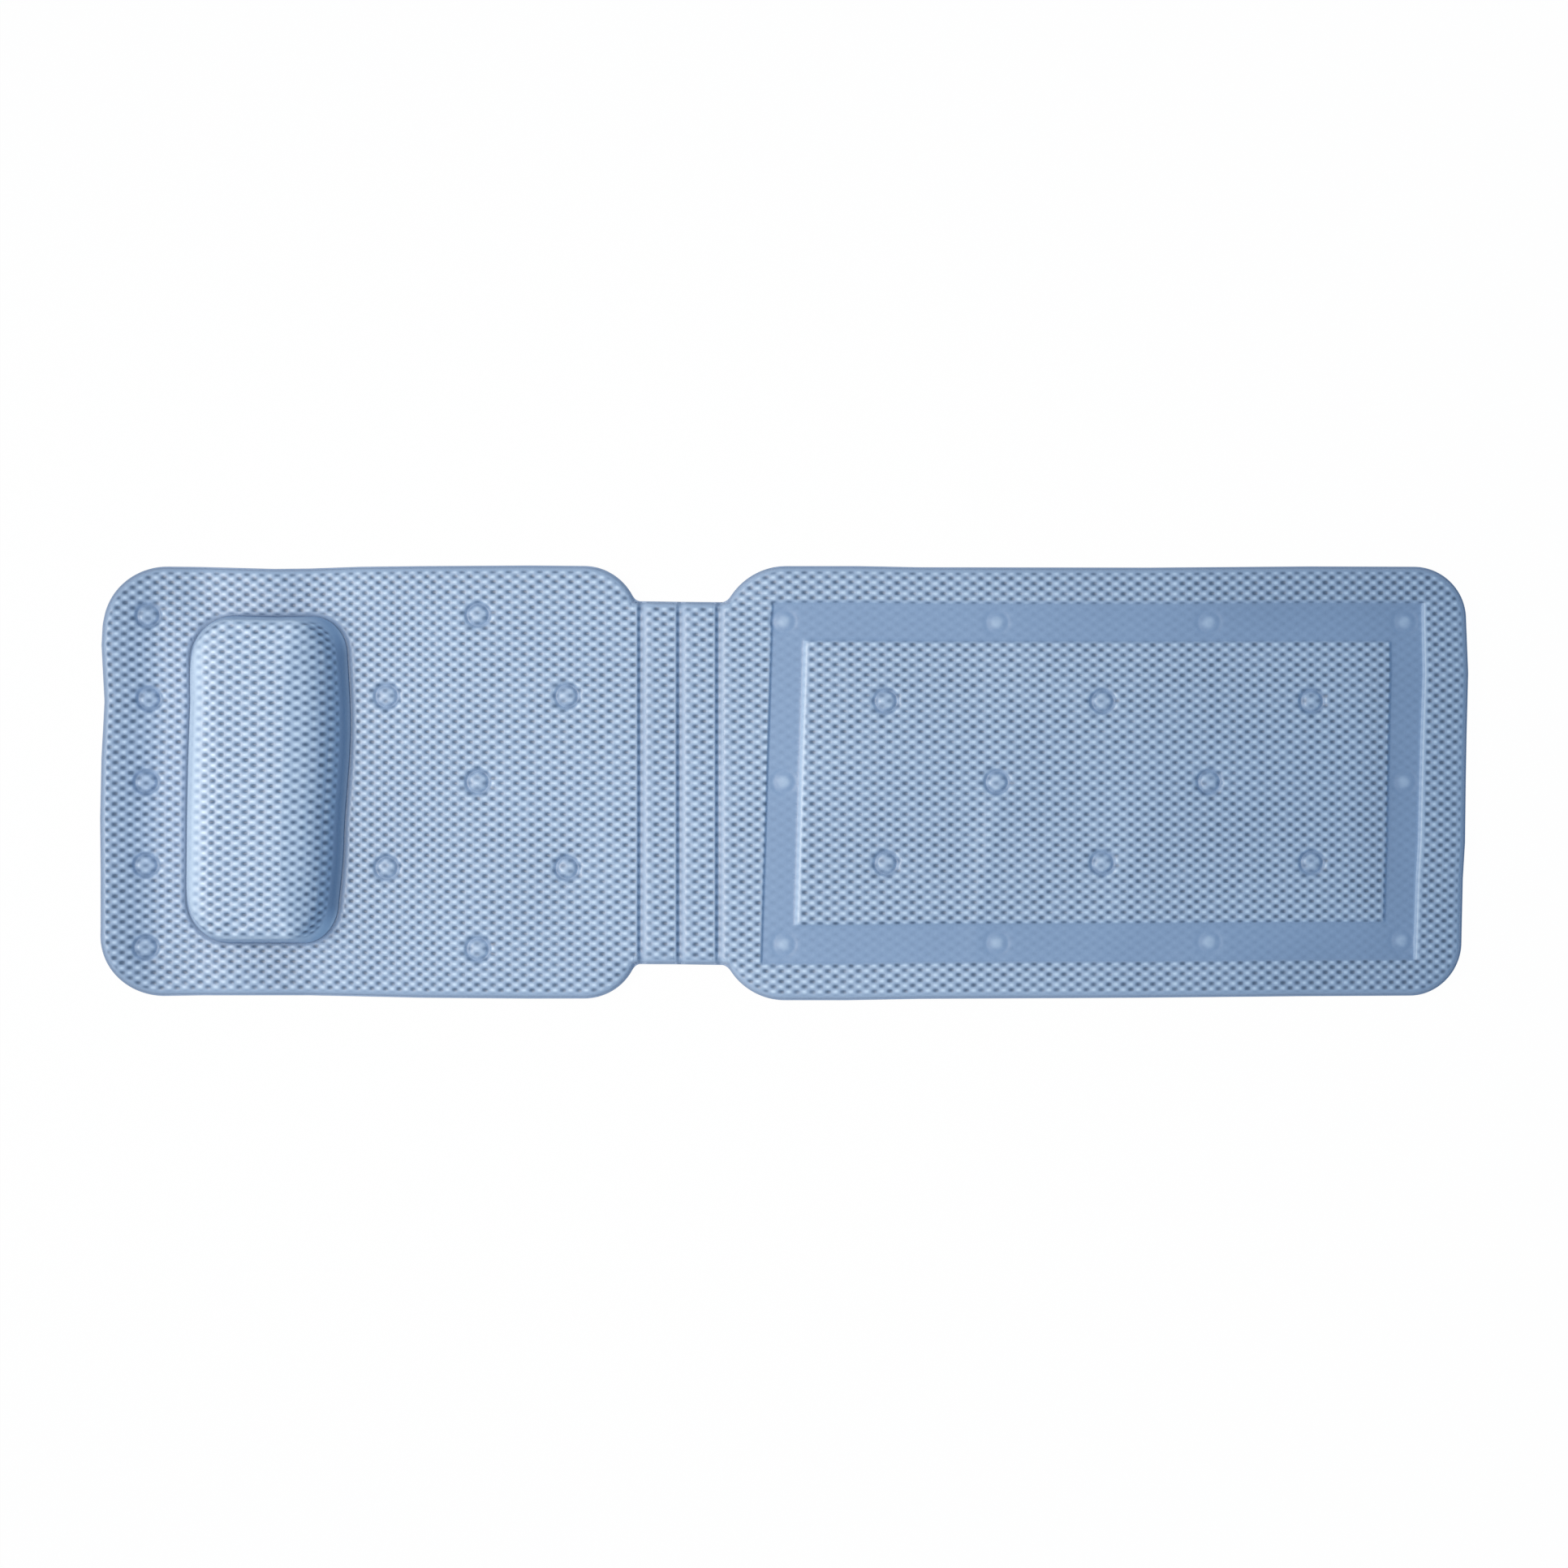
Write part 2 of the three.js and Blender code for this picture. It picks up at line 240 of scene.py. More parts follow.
PILLOW_BOW_REACH = 95 * MM
PILLOW_TAPER = 4.5 * MM
PILLOW_LEAN = 0.012
PILLOW_OFFSET = 1.9 * MM
HEAD_SIDE_RUN = (-0.493, -0.475)
HEAD_FOOT_TUCK = 2.0 * MM
FLANK_STRETCH = 0.35
MOAT_WIDTH = 2.8 * MM
MOAT_DEPTH = 1.5 * MM
MOAT_FLARE = 1.5 * MM
MOAT_FLARE_RUN = (-0.43, -0.37)
MOAT_WEAVE_RUN = (0.35 * MOAT_WIDTH, 1.1 * MOAT_WIDTH)
FOAM_ROWS = 40
FOAM_COLUMNS = 120
FOAM_FIRST_RING = 3
FOAM_HEIGHT_SHARE = 0.94

# Air pressure in the pillow, simulated as cloth
SWELL_ROWS = 26
SWELL_COLUMNS = 104
SWELL_HELD_ROWS = 3
SWELL_PRESSURE = 2
SWELL_FRAMES = 20
SWELL_LIMIT = 0.9 * MM

# Suction cup: radius and height in millimetres, from inside the skirt to the weld plate
CUP_PROFILE = [
    (0, 4.2), (2.2, 4.05), (4.0, 3.6), (5.6, 2.9), (7.4, 1.7), (9.0, 0.55), (9.9, 0.08),
    (10.5, 0.0), (10.95, 0.25), (10.9, 0.75), (10.2, 1.25), (8.6, 2.3), (6.8, 3.6), (5.2, 4.7),
    (4.0, 5.35), (3.3, 5.9), (3.1, 6.5), (3.3, 7.0), (4.2, 7.45), (6.5, 7.65), (8.2, 7.7),
    (8.5, 7.95), (8.5, 8.5), (8.2, 8.7), (0, 8.7),
]
CUP_SIDES = 48

# Weld strips in the folds
WEB_OVERLAP = 0.7 * MM
WEB_REACH = 3.8 * MM
WEB_SHEET = 1.1 * MM
NECK_FILLET = 4.5 * MM
WEB_TOP = 0.75 * MM
WEB_BOTTOM = -0.8 * MM
WELD_LINE_WIDTH = 1.1 * MM
WELD_LINE_DEPTH = 0.1 * MM

# Painted shade in the weld rings' grooves and the pillow's crease, painted light in the rings'
# middles, and how much of the darker tint each takes
RING_PAINTED_SHADE = 0.95
RING_MIDDLE_PAINTED_LIGHT = 0.4
RING_PAINTED_SHADE_TINT = 0.85
CREASE_PAINTED_SHADE = 2.5
HEAD_CREASE_PAINTED_SHADE = 2.4
CREASE_PAINTED_SHADE_TINT = 0.6

# Tone of the embossed vinyl: its mesh fields, and shares as places on the ramp from light to deep. The
# pits' dark tone is painted shade and the bars' light tone is a painted highlight.
FIELDS = ("weave_u", "weave_v", "weave_strength", "rim", "pressed_and_painted_shade", "light", "painted_shading")
# How much one unit of painted shade deepens the tone
PAINTED_SHADING_STEP = 0.10
# Moves the pits' painted shade footwards, onto the pit wall that the lamp lights
PIT_PAINTED_SHADE_SHIFT = 0.035
# Painted shade in the pits and a painted highlight on the bars, as steps along the ramp
PIT_PAINTED_SHADE = 0.58
BAR_PAINTED_HIGHLIGHT = 0.41
# How much painted light lifts smooth vinyl on slopes that face the lamp
PAINTED_LIGHT_TONE = 0.42
MEAN_TONE = 0.42
CLOUD_TONE = 0.10
PORE_TONE = 0.10
# From the bars' painted highlight, through plain vinyl at the mean place, to the pits' painted shade
VINYL_RAMP = [
    (0.0, (0.626, 0.772, 0.946)), (0.42, (0.337, 0.453, 0.631)),
    (0.70, (0.175, 0.256, 0.392)), (1.0, (0.068, 0.117, 0.201)),
]
# Darker tint for die-pressed vinyl, also painted shade in creases, grooves, the fold lines and the
# pillow's foot
PRESSED_AND_PAINTED_SHADE_TINT = (0.71, 0.785, 0.87)
RIM_TINT = (0.79, 0.79, 0.82)

# Camera, floor and light. The whole of the photo's width is in view at the level of the mat's top.
PHOTO_WIDTH = 1288 * MM
CAMERA_PLACE = (-1.3 * MM, -1.7 * MM, 6.0)
FLOOR_COLOUR = (0.86, 0.87, 0.88, 1)
FLOOR_WHITE_SHARE = 0.985
WHITE = (1, 1, 1, 1)
FILL_COLOUR = (0.48, 0.74, 1.0, 1)
FILL_STRENGTH = 0.498
KEY_PLACE = Vector((-1.15, 0.0, 1.7))
KEY_TARGET = Vector((-0.045, 0, 0))
KEY_SIZE = (0.6, 0.9)
KEY_POWER = 5.32
KEY_COLOUR = (1.0, 0.865, 0.72)
KEY_SPREAD = math.radians(68)


# Curves

def smooth(low, high, value):
    """0 below the low value, 1 above the high one, and an even curve between them."""
    t = np.clip((value - low) / (high - low), 0, 1)
    return t * t * (3 - 2 * t)


def smooth_mm(low, high, value):
    """The same for a length, with its two limits in millimetres."""
    return smooth(low * MM, high * MM, value)


def bell(distance, width):
    return np.exp(-((distance / width) ** 2))


def mounds(table, x, y):
    """The sum of soft mounds: centre, half-sizes, height and turn of each."""
    total = np.zeros_like(x)
    for *place, height, turn in table:
        middle_x, middle_y, across, along = np.array(place) * MM
        cos, sin = math.cos(math.radians(turn)), math.sin(math.radians(turn))
        a = (x - middle_x) * cos + (y - middle_y) * sin
        b = (y - middle_y) * cos - (x - middle_x) * sin
        total = total + height * np.exp(-((a / across) ** 2) - (b / along) ** 2)
    return total


def way_along(line):
    """Distance along a line of plan points, at each of them."""
    return np.concatenate([[0], np.cumsum(np.hypot(*np.diff(line, axis=0).T))])


def at_distances(line, distances):
    """Points of the line at distances along it."""
    along = way_along(line)
    return np.column_stack([np.interp(distances, along, line[:, k]) for k in (0, 1)])


# Outlines and point sets in plan

class Outline:
    """A rectangle with round corners, even about Y = 0."""

    def __init__(self, x_min, x_max, half_y, r_min, r_max):
        self.x_min, self.x_max, self.half_y = x_min, x_max, half_y
        self.r_min, self.r_max = r_min, r_max
        self.middle, self.half_x = (x_min + x_max) / 2, (x_max - x_min) / 2

    def inside(self, x, y):
        """How far in from the edge each point lies; negative outside."""
        r = np.where(x > self.middle, self.r_max, self.r_min)
        qx = np.abs(x - self.middle) - (self.half_x - r)
        qy = np.abs(y) - (self.half_y - r)
        beyond = np.hypot(np.maximum(qx, 0), np.maximum(qy, 0))
        return r - beyond - np.minimum(np.maximum(qx, qy), 0)

    def shifted(self, low, high):
        """The same outline with its low and high X edges moved."""
        return Outline(self.x_min + low, self.x_max + high, self.half_y, self.r_min, self.r_max)

    def side(self, y, side):
        """X of the low (-1) or high (1) edge at each y."""
        r, edge = (self.r_max, self.x_max) if side > 0 else (self.r_min, self.x_min)
        over = np.clip(np.abs(y) - (self.half_y - r), 0, r)
        return edge - side * (r - np.sqrt(np.maximum(r * r - over * over, 0)))

    def ring(self, inset, spacing):
        """Points round the outline at an inset, anticlockwise, about the spacing apart."""
        corners = [
            (self.x_max, 1, 1, self.r_max), (self.x_min, -1, 1, self.r_min),
            (self.x_min, -1, -1, self.r_min), (self.x_max, 1, -1, self.r_max),
        ]
        arcs = []
        for quarter, (edge, sx, sy, radius) in enumerate(corners):
            r = max(radius - inset, radius * SMALLEST_CORNER_SHARE)
            steps = max(3, round(r * math.pi / 2 / spacing))
            angle = quarter * math.pi / 2 + np.linspace(0, math.pi / 2, steps + 1)
            centre_x = edge - sx * (inset + r)
            centre_y = sy * (self.half_y - inset - r)
            arcs.append(np.stack([centre_x + r * np.cos(angle), centre_y + r * np.sin(angle)], 1))
        points = []
        for here, after in zip(arcs, arcs[1:] + arcs[:1]):
            run = after[0] - here[-1]
            steps = max(1, round(float(np.hypot(*run)) / spacing))
            points += [here, here[-1] + np.arange(1, steps)[:, None] / steps * run]
        return np.concatenate(points)


def triangulate(points, loop):
    """Delaunay triangles over plan points, whose first ones are the boundary loop."""
    edges = [(i, (i + 1) % loop) for i in range(loop)]
    made = delaunay_2d_cdt([Vector(p) for p in points.tolist()], edges, [], 1, 1e-9)
    source = [found[0] for found in made[3]]
    faces = np.array([[source[i] for i in face] for face in made[2]], dtype=np.int64)
    a, b, c = (points[faces[:, k]] for k in range(3))
    turn = (b[:, 0] - a[:, 0]) * (c[:, 1] - a[:, 1]) - (b[:, 1] - a[:, 1]) * (c[:, 0] - a[:, 0])
    faces[turn < 0] = faces[turn < 0][:, ::-1]
    return faces


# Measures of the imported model

NECK_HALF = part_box("neck_rib_1_top_sheet")[1].y
RIB_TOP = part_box("neck_rib_1_top_sheet")[1].z
RIB_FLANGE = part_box("neck_rib_1_top_sheet")[0].z + FLANGE_THICKNESS


def pillow_outline():
    low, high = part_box("pillow_cover")
    return Outline(low.x, high.x, high.y, PILLOW_HEAD_RADIUS, PILLOW_BACK_RADIUS)


PILLOW = pillow_outline()


def centre(node):
    low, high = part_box(node)
    return [(a + b) / 2 for a, b in zip(low, high)]


def cup_centres(prefix):
    names = (name for name in sorted(frame["nodes"]) if name.startswith(prefix + "_suction_cup_"))
    return np.array([centre(name)[:2] for name in names])


def nearest_cup(x, y, centres):
    """Distance to the nearest cup's centre, or a metre where there is none."""
    if len(centres) == 0:
        return np.full_like(x, 1.0)
    return np.min([np.hypot(x - cx, y - cy) for cx, cy in centres], axis=0)


# Weave: phases, pits and relief

def weave_table():
    """The weave's column phase along X."""
    places, periods = WEAVE_PERIODS
    x = np.linspace(places[0] - WEAVE_TABLE_MARGIN, places[-1] + WEAVE_TABLE_MARGIN, WEAVE_TABLE_ROWS)
    rate = 1 / np.interp(x, places, periods * MM)
    return x, np.concatenate([[0], np.cumsum((rate[1:] + rate[:-1]) / 2 * np.diff(x))])


WEAVE_X, WEAVE_PHASE = weave_table()


def column_phase(x):
    return np.interp(x, WEAVE_X, WEAVE_PHASE)


def row_phase(y):
    return (y + WEAVE_ROW_SHIFT) / WEAVE_ROW_PERIOD


def weave_relief(u, v, strength):
    """Pits and the bars between them, about the sheet's mean level."""
    wave = np.cos(2 * math.pi * u) * np.cos(2 * math.pi * v)
    pit = np.maximum(wave, 0) ** PIT_POWER
    bar = np.maximum(-wave, 0) ** BAR_POWER
    return WEAVE_DEPTH * strength * (WEAVE_MEAN_SHARE - pit + BAR_SHARE * bar)


def weave_grid(outline, inset):
    """Plan points on the weave's own columns and rows, so that pits and bars fall on points."""
    low, high = column_phase(np.array([outline.x_min, outline.x_max]))
    columns = np.arange(math.ceil(low * COLUMNS_PER_CELL), high * COLUMNS_PER_CELL)
    x = np.interp(columns / COLUMNS_PER_CELL, WEAVE_PHASE, WEAVE_X)
    reach = math.floor(outline.half_y / WEAVE_ROW_PERIOD * ROWS_PER_CELL)
    rows = np.arange(-reach, reach + 1)
    y = rows / ROWS_PER_CELL * WEAVE_ROW_PERIOD - WEAVE_ROW_SHIFT
    points = np.stack([grid.ravel() for grid in np.meshgrid(x, y, indexing="ij")], 1)
    even = (np.add.outer(columns, rows) % 2 == 0).ravel()
    keep = outline.inside(*points.T) > inset
    return points[keep], even[keep]


# Sections of the mat

class Section:
    """One padded section: its outline, heights, cups and channel."""

    def __init__(self, name, body, radii, crown_width, folds, channel=False):
        self.name, self.body, self.folds = name, body, folds
        low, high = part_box(name + "_top_sheet")
        base_low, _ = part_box(name + "_base_sheet")
        self.outline = Outline(low.x, high.x, high.y, *radii)
        self.sheet_z, self.top_z, self.base_z = low.z, high.z, base_low.z
        self.crown_width = crown_width
        self.cups = cup_centres(name)
        self.wide = high.y > NECK_HALF + NECK_FILLET
        self.walls = channel_walls(low, high) if channel else []

    def across_neck(self, y):
        """1 where the neck joins this section, 0 beyond the neck's sides."""
        if all(self.folds):
            return np.ones_like(y)
        return smooth(0, NECK_BLEND, NECK_HALF - np.abs(y))

    def from_free_edge(self, x, y):
        """Distance in from the edge, where a fold isn't one."""
        edge = self.outline
        if all(self.folds):
            return edge.half_y - np.abs(y)
        past = edge.shifted(-FAR if self.folds[0] else 0, FAR if self.folds[1] else 0)
        joined = self.across_neck(y)
        return edge.inside(x, y) * (1 - joined) + past.inside(x, y) * joined

    def fold_sides(self, x, y):
        """Of each fold: how far a point is footwards past its axis, and how far in from its edge."""
        edge, sides = self.outline, []
        if self.folds[0]:
            sides.append((x - edge.x_min + FOLD_LIP, x - edge.side(y, -1)))
        if self.folds[1]:
            sides.append((x - edge.x_max - FOLD_LIP, edge.side(y, 1) - x))
        return sides

    def lean(self, x, y):
        """How far the hand-laid channel die leans along X at each point."""
        trough = self.walls[0]
        share = np.clip((x - trough.x_min) / (trough.x_max - trough.x_min), 0, 1)
        return y * (CHANNEL_FOLD_LEAN + (CHANNEL_FOOT_LEAN - CHANNEL_FOLD_LEAN) * share)

    def from_wall(self, wall, x, y):
        """Distance in from a channel wall that leans as the die does."""
        return wall.inside(x - self.lean(x, y), y)

    def between_walls(self, x, y, band, trough_run, pad_run):
        """1 in the channel and on a band past its walls that face the head."""
        if not self.walls:
            return np.zeros_like(x)
        trough, pad = self.walls
        x = x - self.lean(x, y)
        within = box_share(trough.shifted(0, band), x, y, trough_run)
        return within * (1 - box_share(pad.shifted(band, 0), x, y, pad_run))

    def channel_share(self, x, y):
        """0 on the raised parts, 1 on the channel's floor."""
        return self.between_walls(x, y, 0, TROUGH_RUN, PAD_RUN)

    def faint_share(self, x, y):
        """1 where the weave is pressed nearly flat."""
        return self.between_walls(x, y, WALL_SMOOTH_BAND, FAINT_RUN, FAINT_RUN)


class Spots:
    """What a section's skin is like at points in plan."""

    def __init__(self, section, x, y):
        self.section, self.x, self.y = section, x, y
        self.from_edge = section.from_free_edge(x, y)
        self.joined = section.across_neck(y)
        self.folds = section.fold_sides(x, y)
        self.channel = section.channel_share(x, y)
        self.from_cup = nearest_cup(x, y, section.cups)
        self.groove = bell(self.from_cup - RING_GROOVE_RADIUS, RING_GROOVE_WIDTH)
        by_pillow = section.name == "back"
        self.from_pillow = outside_pillow(x, y) if by_pillow else np.full_like(x, FAR)
        # Share of the crease by the pillow's foot, where shade is painted
        self.crease = 1 - smooth_mm(-1.2, 2.0, self.from_pillow)

    def plain_top(self):
        """Height of the padded top, its channel and the moat that the pillow's weld leaves."""
        section = self.section
        flange_z = section.sheet_z + FLANGE_THICKNESS
        rise = (section.top_z - flange_z) * padding_share(self.from_edge, section.crown_width)
        for past_axis, from_web in self.folds:
            rise = rise * (1 - self.joined * valley_share(past_axis))
            rise = rise * (1 - self.joined * (1 - smooth(SHELF_START, SHELF_END, from_web)))
        lip = np.clip(section.outline.inside(self.x, self.y) / RIM_ROUNDING, 0, 1)
        padding = flange_z + rise - RIM_ROUNDING * (1 - lip)
        moat = 1 - smooth(0, MOAT_WIDTH, self.from_pillow)
        return padding - CHANNEL_DEPTH * self.channel - MOAT_DEPTH * moat

    def ring_relief(self):
        """The weld rings' grooves and the low domes inside them."""
        dome = np.clip(1 - (self.from_cup / RING_DOME_RADIUS) ** 2, 0, 1)
        share = 1 - (1 - CHANNEL_RING_SHARE) * self.channel
        return RING_DOME_RISE * dome - RING_GROOVE_DEPTH * self.groove * share

    def weave_strength(self):
        """1 where the weave is whole, 0 where the sheet is smooth."""
        faint = self.section.faint_share(self.x, self.y)
        groove = bell(self.from_cup - RING_GROOVE_RADIUS, RING_SMOOTH_WIDTH)
        dome = 1 - smooth(RING_DOME_RADIUS, RING_GROOVE_RADIUS, self.from_cup)
        strength = margin_share(self.from_edge) * (1 - (1 - CHANNEL_WEAVE_SHARE) * faint)
        for past_axis, _ in self.folds:
            strength = strength * (1 - self.joined * (1 - fold_weave_share(past_axis)))
        strength = strength * (1 - RING_SMOOTHING * groove) * (1 - DOME_SMOOTHING * dome)
        out = self.from_pillow - MOAT_FLARE * smooth(*MOAT_FLARE_RUN, self.x)
        return strength * smooth(*MOAT_WEAVE_RUN, out)

    def light(self):
        """1 on smooth vinyl painted as light as the weave's bars: painted light on slopes that face
        the head and the lamp, and on ring middles in the channel.
        """
        share = np.zeros_like(self.x)
        for past_axis, _ in self.folds:
            share = np.maximum(share, self.joined * fold_painted_light_share(past_axis))
        if not self.section.walls:
            return share
        trough, pad = self.section.walls
        x = self.x - self.section.lean(self.x, self.y) - WALL_SMOOTH_BAND / 2
        for wall, edge, start, end in ((pad, pad.x_min, 2, 3.6), (trough, trough.x_max, 2.6, 4.4)):
            bank = (1 - smooth_mm(start, end, np.abs(x - edge))) * (wall.half_y > np.abs(self.y))
            share = np.maximum(share, WALL_PAINTED_LIGHT * bank)
        return np.maximum(share, CHANNEL_RING_PAINTED_LIGHT * self.channel_ring())

    def painted_shading(self):
        """How much deeper the tone is painted: painted shade and light for slow slopes, painted shade
        in the weld rings' grooves with painted light in their middles, and painted shade in the
        pillow's crease.
        """
        middle = 1 - smooth_mm(2.5, 6.5, self.from_cup)
        # Painted shade in the weld ring's groove and painted light in its middle, off the channel
        ring = (RING_PAINTED_SHADE * self.groove - RING_MIDDLE_PAINTED_LIGHT * middle) * (1 - self.channel)
        # Painted shade in the crease at the pillow's foot, stronger on its head side
        crease = (CREASE_PAINTED_SHADE + HEAD_CREASE_PAINTED_SHADE * head_side_share(self.x)) * self.crease
        return mounds(PAINTED_SHADING_MOUNDS, self.x, self.y) + ring + crease

    def pressed_and_painted_shade(self):
        """1 where the sheet takes the darker tint: die-pressed smooth in the channel, and painted
        shade in the pillow's crease and the weld rings' grooves.
        """
        pressed_and_painted_shade = self.channel * (1 - 0.7 * self.channel_ring())
        # Painted shade in the crease at the pillow's foot
        pressed_and_painted_shade = np.maximum(pressed_and_painted_shade, CREASE_PAINTED_SHADE_TINT * self.crease)
        # Painted shade in the weld rings' grooves, off the channel
        return np.maximum(pressed_and_painted_shade, RING_PAINTED_SHADE_TINT * self.groove * (1 - self.channel))

    def channel_ring(self):
        """1 in the middle of a weld ring on the channel's floor, which takes painted light."""
        return self.channel * (1 - smooth_mm(2, 7, self.from_cup))


def channel_walls(low, high):
    """Outlines of the channel's outer wall and of the pad inside it."""
    trough = Outline(
        low.x - FOLD_LIP + CHANNEL_FOLD_INSET, high.x - CHANNEL_FOOT_INSET,
        high.y - CHANNEL_SIDE_INSET, CHANNEL_RADIUS, CHANNEL_RADIUS,
    )
    pad = Outline(
        trough.x_min + CHANNEL_BAND_X, trough.x_max - CHANNEL_BAND_X,
        trough.half_y - CHANNEL_BAND_Y, CHANNEL_RADIUS, CHANNEL_RADIUS,
    )
    return [trough, pad]


def box_share(box, x, y, run):
    """1 inside a box in plan, 0 outside, over half-runs at its low X, high X and Y sides."""
    low, high, side = run
    return (
        smooth(-low, low, x - box.x_min) * smooth(-high, high, box.x_max - x)
        * smooth(-side, side, box.half_y - np.abs(y))
    )


def padding_share(inside, crown_width):
    """How much of its full height the padding has at a distance in from a free edge."""
    across = np.clip((inside - FLANGE_WIDTH) / SHOULDER_WIDTH, 0, 1)
    shoulder = np.sqrt(np.clip(1 - (1 - across) ** 2, 0, 1))
    inward = np.clip((inside - FLANGE_WIDTH - SHOULDER_WIDTH) / crown_width, 0, 1)
    return SHOULDER_SHARE * shoulder + (1 - SHOULDER_SHARE) * np.sin(inward * math.pi / 2)


def valley_share(past_axis):
    """How much of the padding's height a fold's valley takes away."""
    bank = np.where(past_axis < 0, FOOT_FACING_BANK, HEAD_FACING_BANK)
    return VALLEY_DEPTH / (RIB_TOP - RIB_FLANGE) * (1 - smooth(0, bank, np.abs(past_axis)))


def margin_share(from_edge):
    """The weave's strength by the distance in from a free edge."""
    return smooth(SMOOTH_AT_EDGE - MARGIN_RUN, SMOOTH_AT_EDGE + MARGIN_RUN, from_edge)


def rim_share(from_edge):
    """1 on the thin welded edge."""
    return 1 - smooth_mm(1, 3, from_edge)


def fold_weave_share(past_axis):
    """The weave's strength across a fold: full before its line, and stretched out past it."""
    before = 0.45 + 0.55 * smooth_mm(0.3, 1.8, -past_axis)
    past = 0.25 + 0.75 * smooth(FOLD_WEAVE_START, FOLD_WEAVE_FULL, past_axis)
    return np.where(past_axis < 0, before, np.maximum(past, 0.45 - 0.2 * smooth_mm(0, 1.2, past_axis)))


def fold_painted_light_share(past_axis):
    """How much painted light the smooth bank past a fold's line takes, as it faces the head and the
    lamp.
    """
    return FOLD_PAINTED_LIGHT * smooth_mm(0.4, 2.4, past_axis) * (1 - smooth_mm(8, 14, past_axis))


# The soft mat's unevenness

def warp(x, y, body):
    """How far the soft mat lies off its flat shape: ripples, and a curl at the free head edge."""
    lift = MM * mounds(RIPPLES.get(body, []), x, y)
    if body == "back_section":
        from_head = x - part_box("back_top_sheet")[0].x
        lift = lift + HEAD_CURL * (1 - smooth(HEAD_CURL_START, HEAD_CURL_REACH, from_head))
    return lift


def drift(x, y):
    """How far the soft mat's edges wander: moves along X and Y."""
    head, foot = smooth(*END_RUN, -x), smooth(*END_RUN, x)
    bottom, top = smooth(*SIDE_RUN, -y), smooth(*SIDE_RUN, y)
    move_x = head * np.interp(y, *HEAD_EDGE) + foot * np.interp(y, *FOOT_EDGE)
    move_y = top * np.interp(x, *TOP_EDGE) + bottom * np.interp(x, *BOTTOM_EDGE)
    return move_x * MM, move_y * MM


def pillow_shift(x, y):
    """How far the pillow's points move along X: a lean, and a bow and a taper of the back side."""
    back_side = smooth(PILLOW.middle, PILLOW.x_max, x)
    from_middle = np.clip((y - PILLOW_BOW_MIDDLE) / PILLOW_BOW_REACH, -1, 1)
    bow = PILLOW_BOW * np.cos(from_middle * math.pi / 2) ** 2
    return back_side * (bow - PILLOW_TAPER * smooth_mm(50, 125, -y)) + PILLOW_LEAN * y


def head_side_share(x):
    """1 along the pillow's head side, where its foot is tucked in."""
    return 1 - smooth(*HEAD_SIDE_RUN, x)


def outside_pillow(x, y):
    """Distance out from the pillow's foot in plan."""
    y = y - PILLOW_OFFSET
    return HEAD_FOOT_TUCK * head_side_share(x) - PILLOW.inside(x - pillow_shift(x, y), y)


def settle(piece, body):
    """Gives a finished piece the slow unevenness of the soft mat."""
    x, y, z = read_points(piece.data).astype(float).T
    move_x, move_y = drift(x, y)
    write_points(piece.data, np.column_stack([x + move_x, y + move_y, z + warp(x, y, body)]))


# Meshes

def read_points(mesh, key="co"):
    values = np.zeros(len(mesh.vertices) * 3, np.float32)
    mesh.vertices.foreach_get(key, values)
    return values.reshape(-1, 3)


def write_points(mesh, places):
    mesh.vertices.foreach_set("co", places.astype(np.float32).ravel())
    mesh.update()


def add_object(name, data):
    piece = bpy.data.objects.new(name, data)
    bpy.context.scene.collection.objects.link(piece)
    return piece


def make_mesh(name, vertices, faces, fields=()):
    """A smooth-shaded object from arrays; each array of faces has its own number of corners."""
    mesh = bpy.data.meshes.new(name)
    mesh.from_pydata(vertices.tolist(), [], [face for block in faces for face in block.tolist()])
    mesh.shade_smooth()
    mesh.validate()
    for key, values in zip(FIELDS, fields):
        layer = mesh.attributes.new(key, "FLOAT", "POINT")
        layer.data.foreach_set("value", np.asarray(values, dtype=np.float32))
    return add_object(name, mesh)


def bands(rows, count):
    """Quads between neighbouring rings of points."""
    index = np.arange(count)
    after = (index + 1) % count
    band = np.column_stack([index, after, after + count, index + count])
    return np.concatenate([band + row * count for row in range(rows - 1)])


def stitch(outer, inner, first_inner):
    """Triangles between two closed loops of plan points that go the same way."""
    na, nb = len(outer), len(inner)
    start = int(np.argmin(np.hypot(*(inner - outer[0]).T)))
    faces, i, j = [], 0, 0
    while i < na or j < nb:
        a0, a1 = i % na, (i + 1) % na
        b0, b1 = (start + j) % nb, (start + j + 1) % nb
        shorter = np.hypot(*(outer[a1] - inner[b0])) <= np.hypot(*(inner[b1] - outer[a0]))
        take_outer = j >= nb or (i < na and shorter)
        faces.append((a0, first_inner + b0, a1 if take_outer else first_inner + b1))
        if take_outer:
            i += 1
        else:
            j += 1
    return np.array(faces)


def shell(name, top, top_z, under, under_z, fields=()):
    """A closed piece from a top and an underside, each points and the length of their loop."""
    (top, top_loop), (under, under_loop) = top, under
    top_faces = triangulate(top, top_loop)
    under_faces = triangulate(under, under_loop)[:, ::-1] + len(top)
    side = stitch(top[:top_loop], under[:under_loop], len(top))
    vertices = np.concatenate([np.column_stack([top, top_z]), np.column_stack([under, under_z])])
    filled = [np.concatenate([values, np.zeros(len(under))]) for values in fields]
    return make_mesh(name, vertices, [top_faces, side, under_faces], filled)


def dress(piece, body, material, node):
    """Settles a finished piece and says what it is and moves with."""
    settle(piece, body)
    piece.data.materials.append(material)
    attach(piece, body)
    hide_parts(node)


# Skins, backings and fillings of the sections

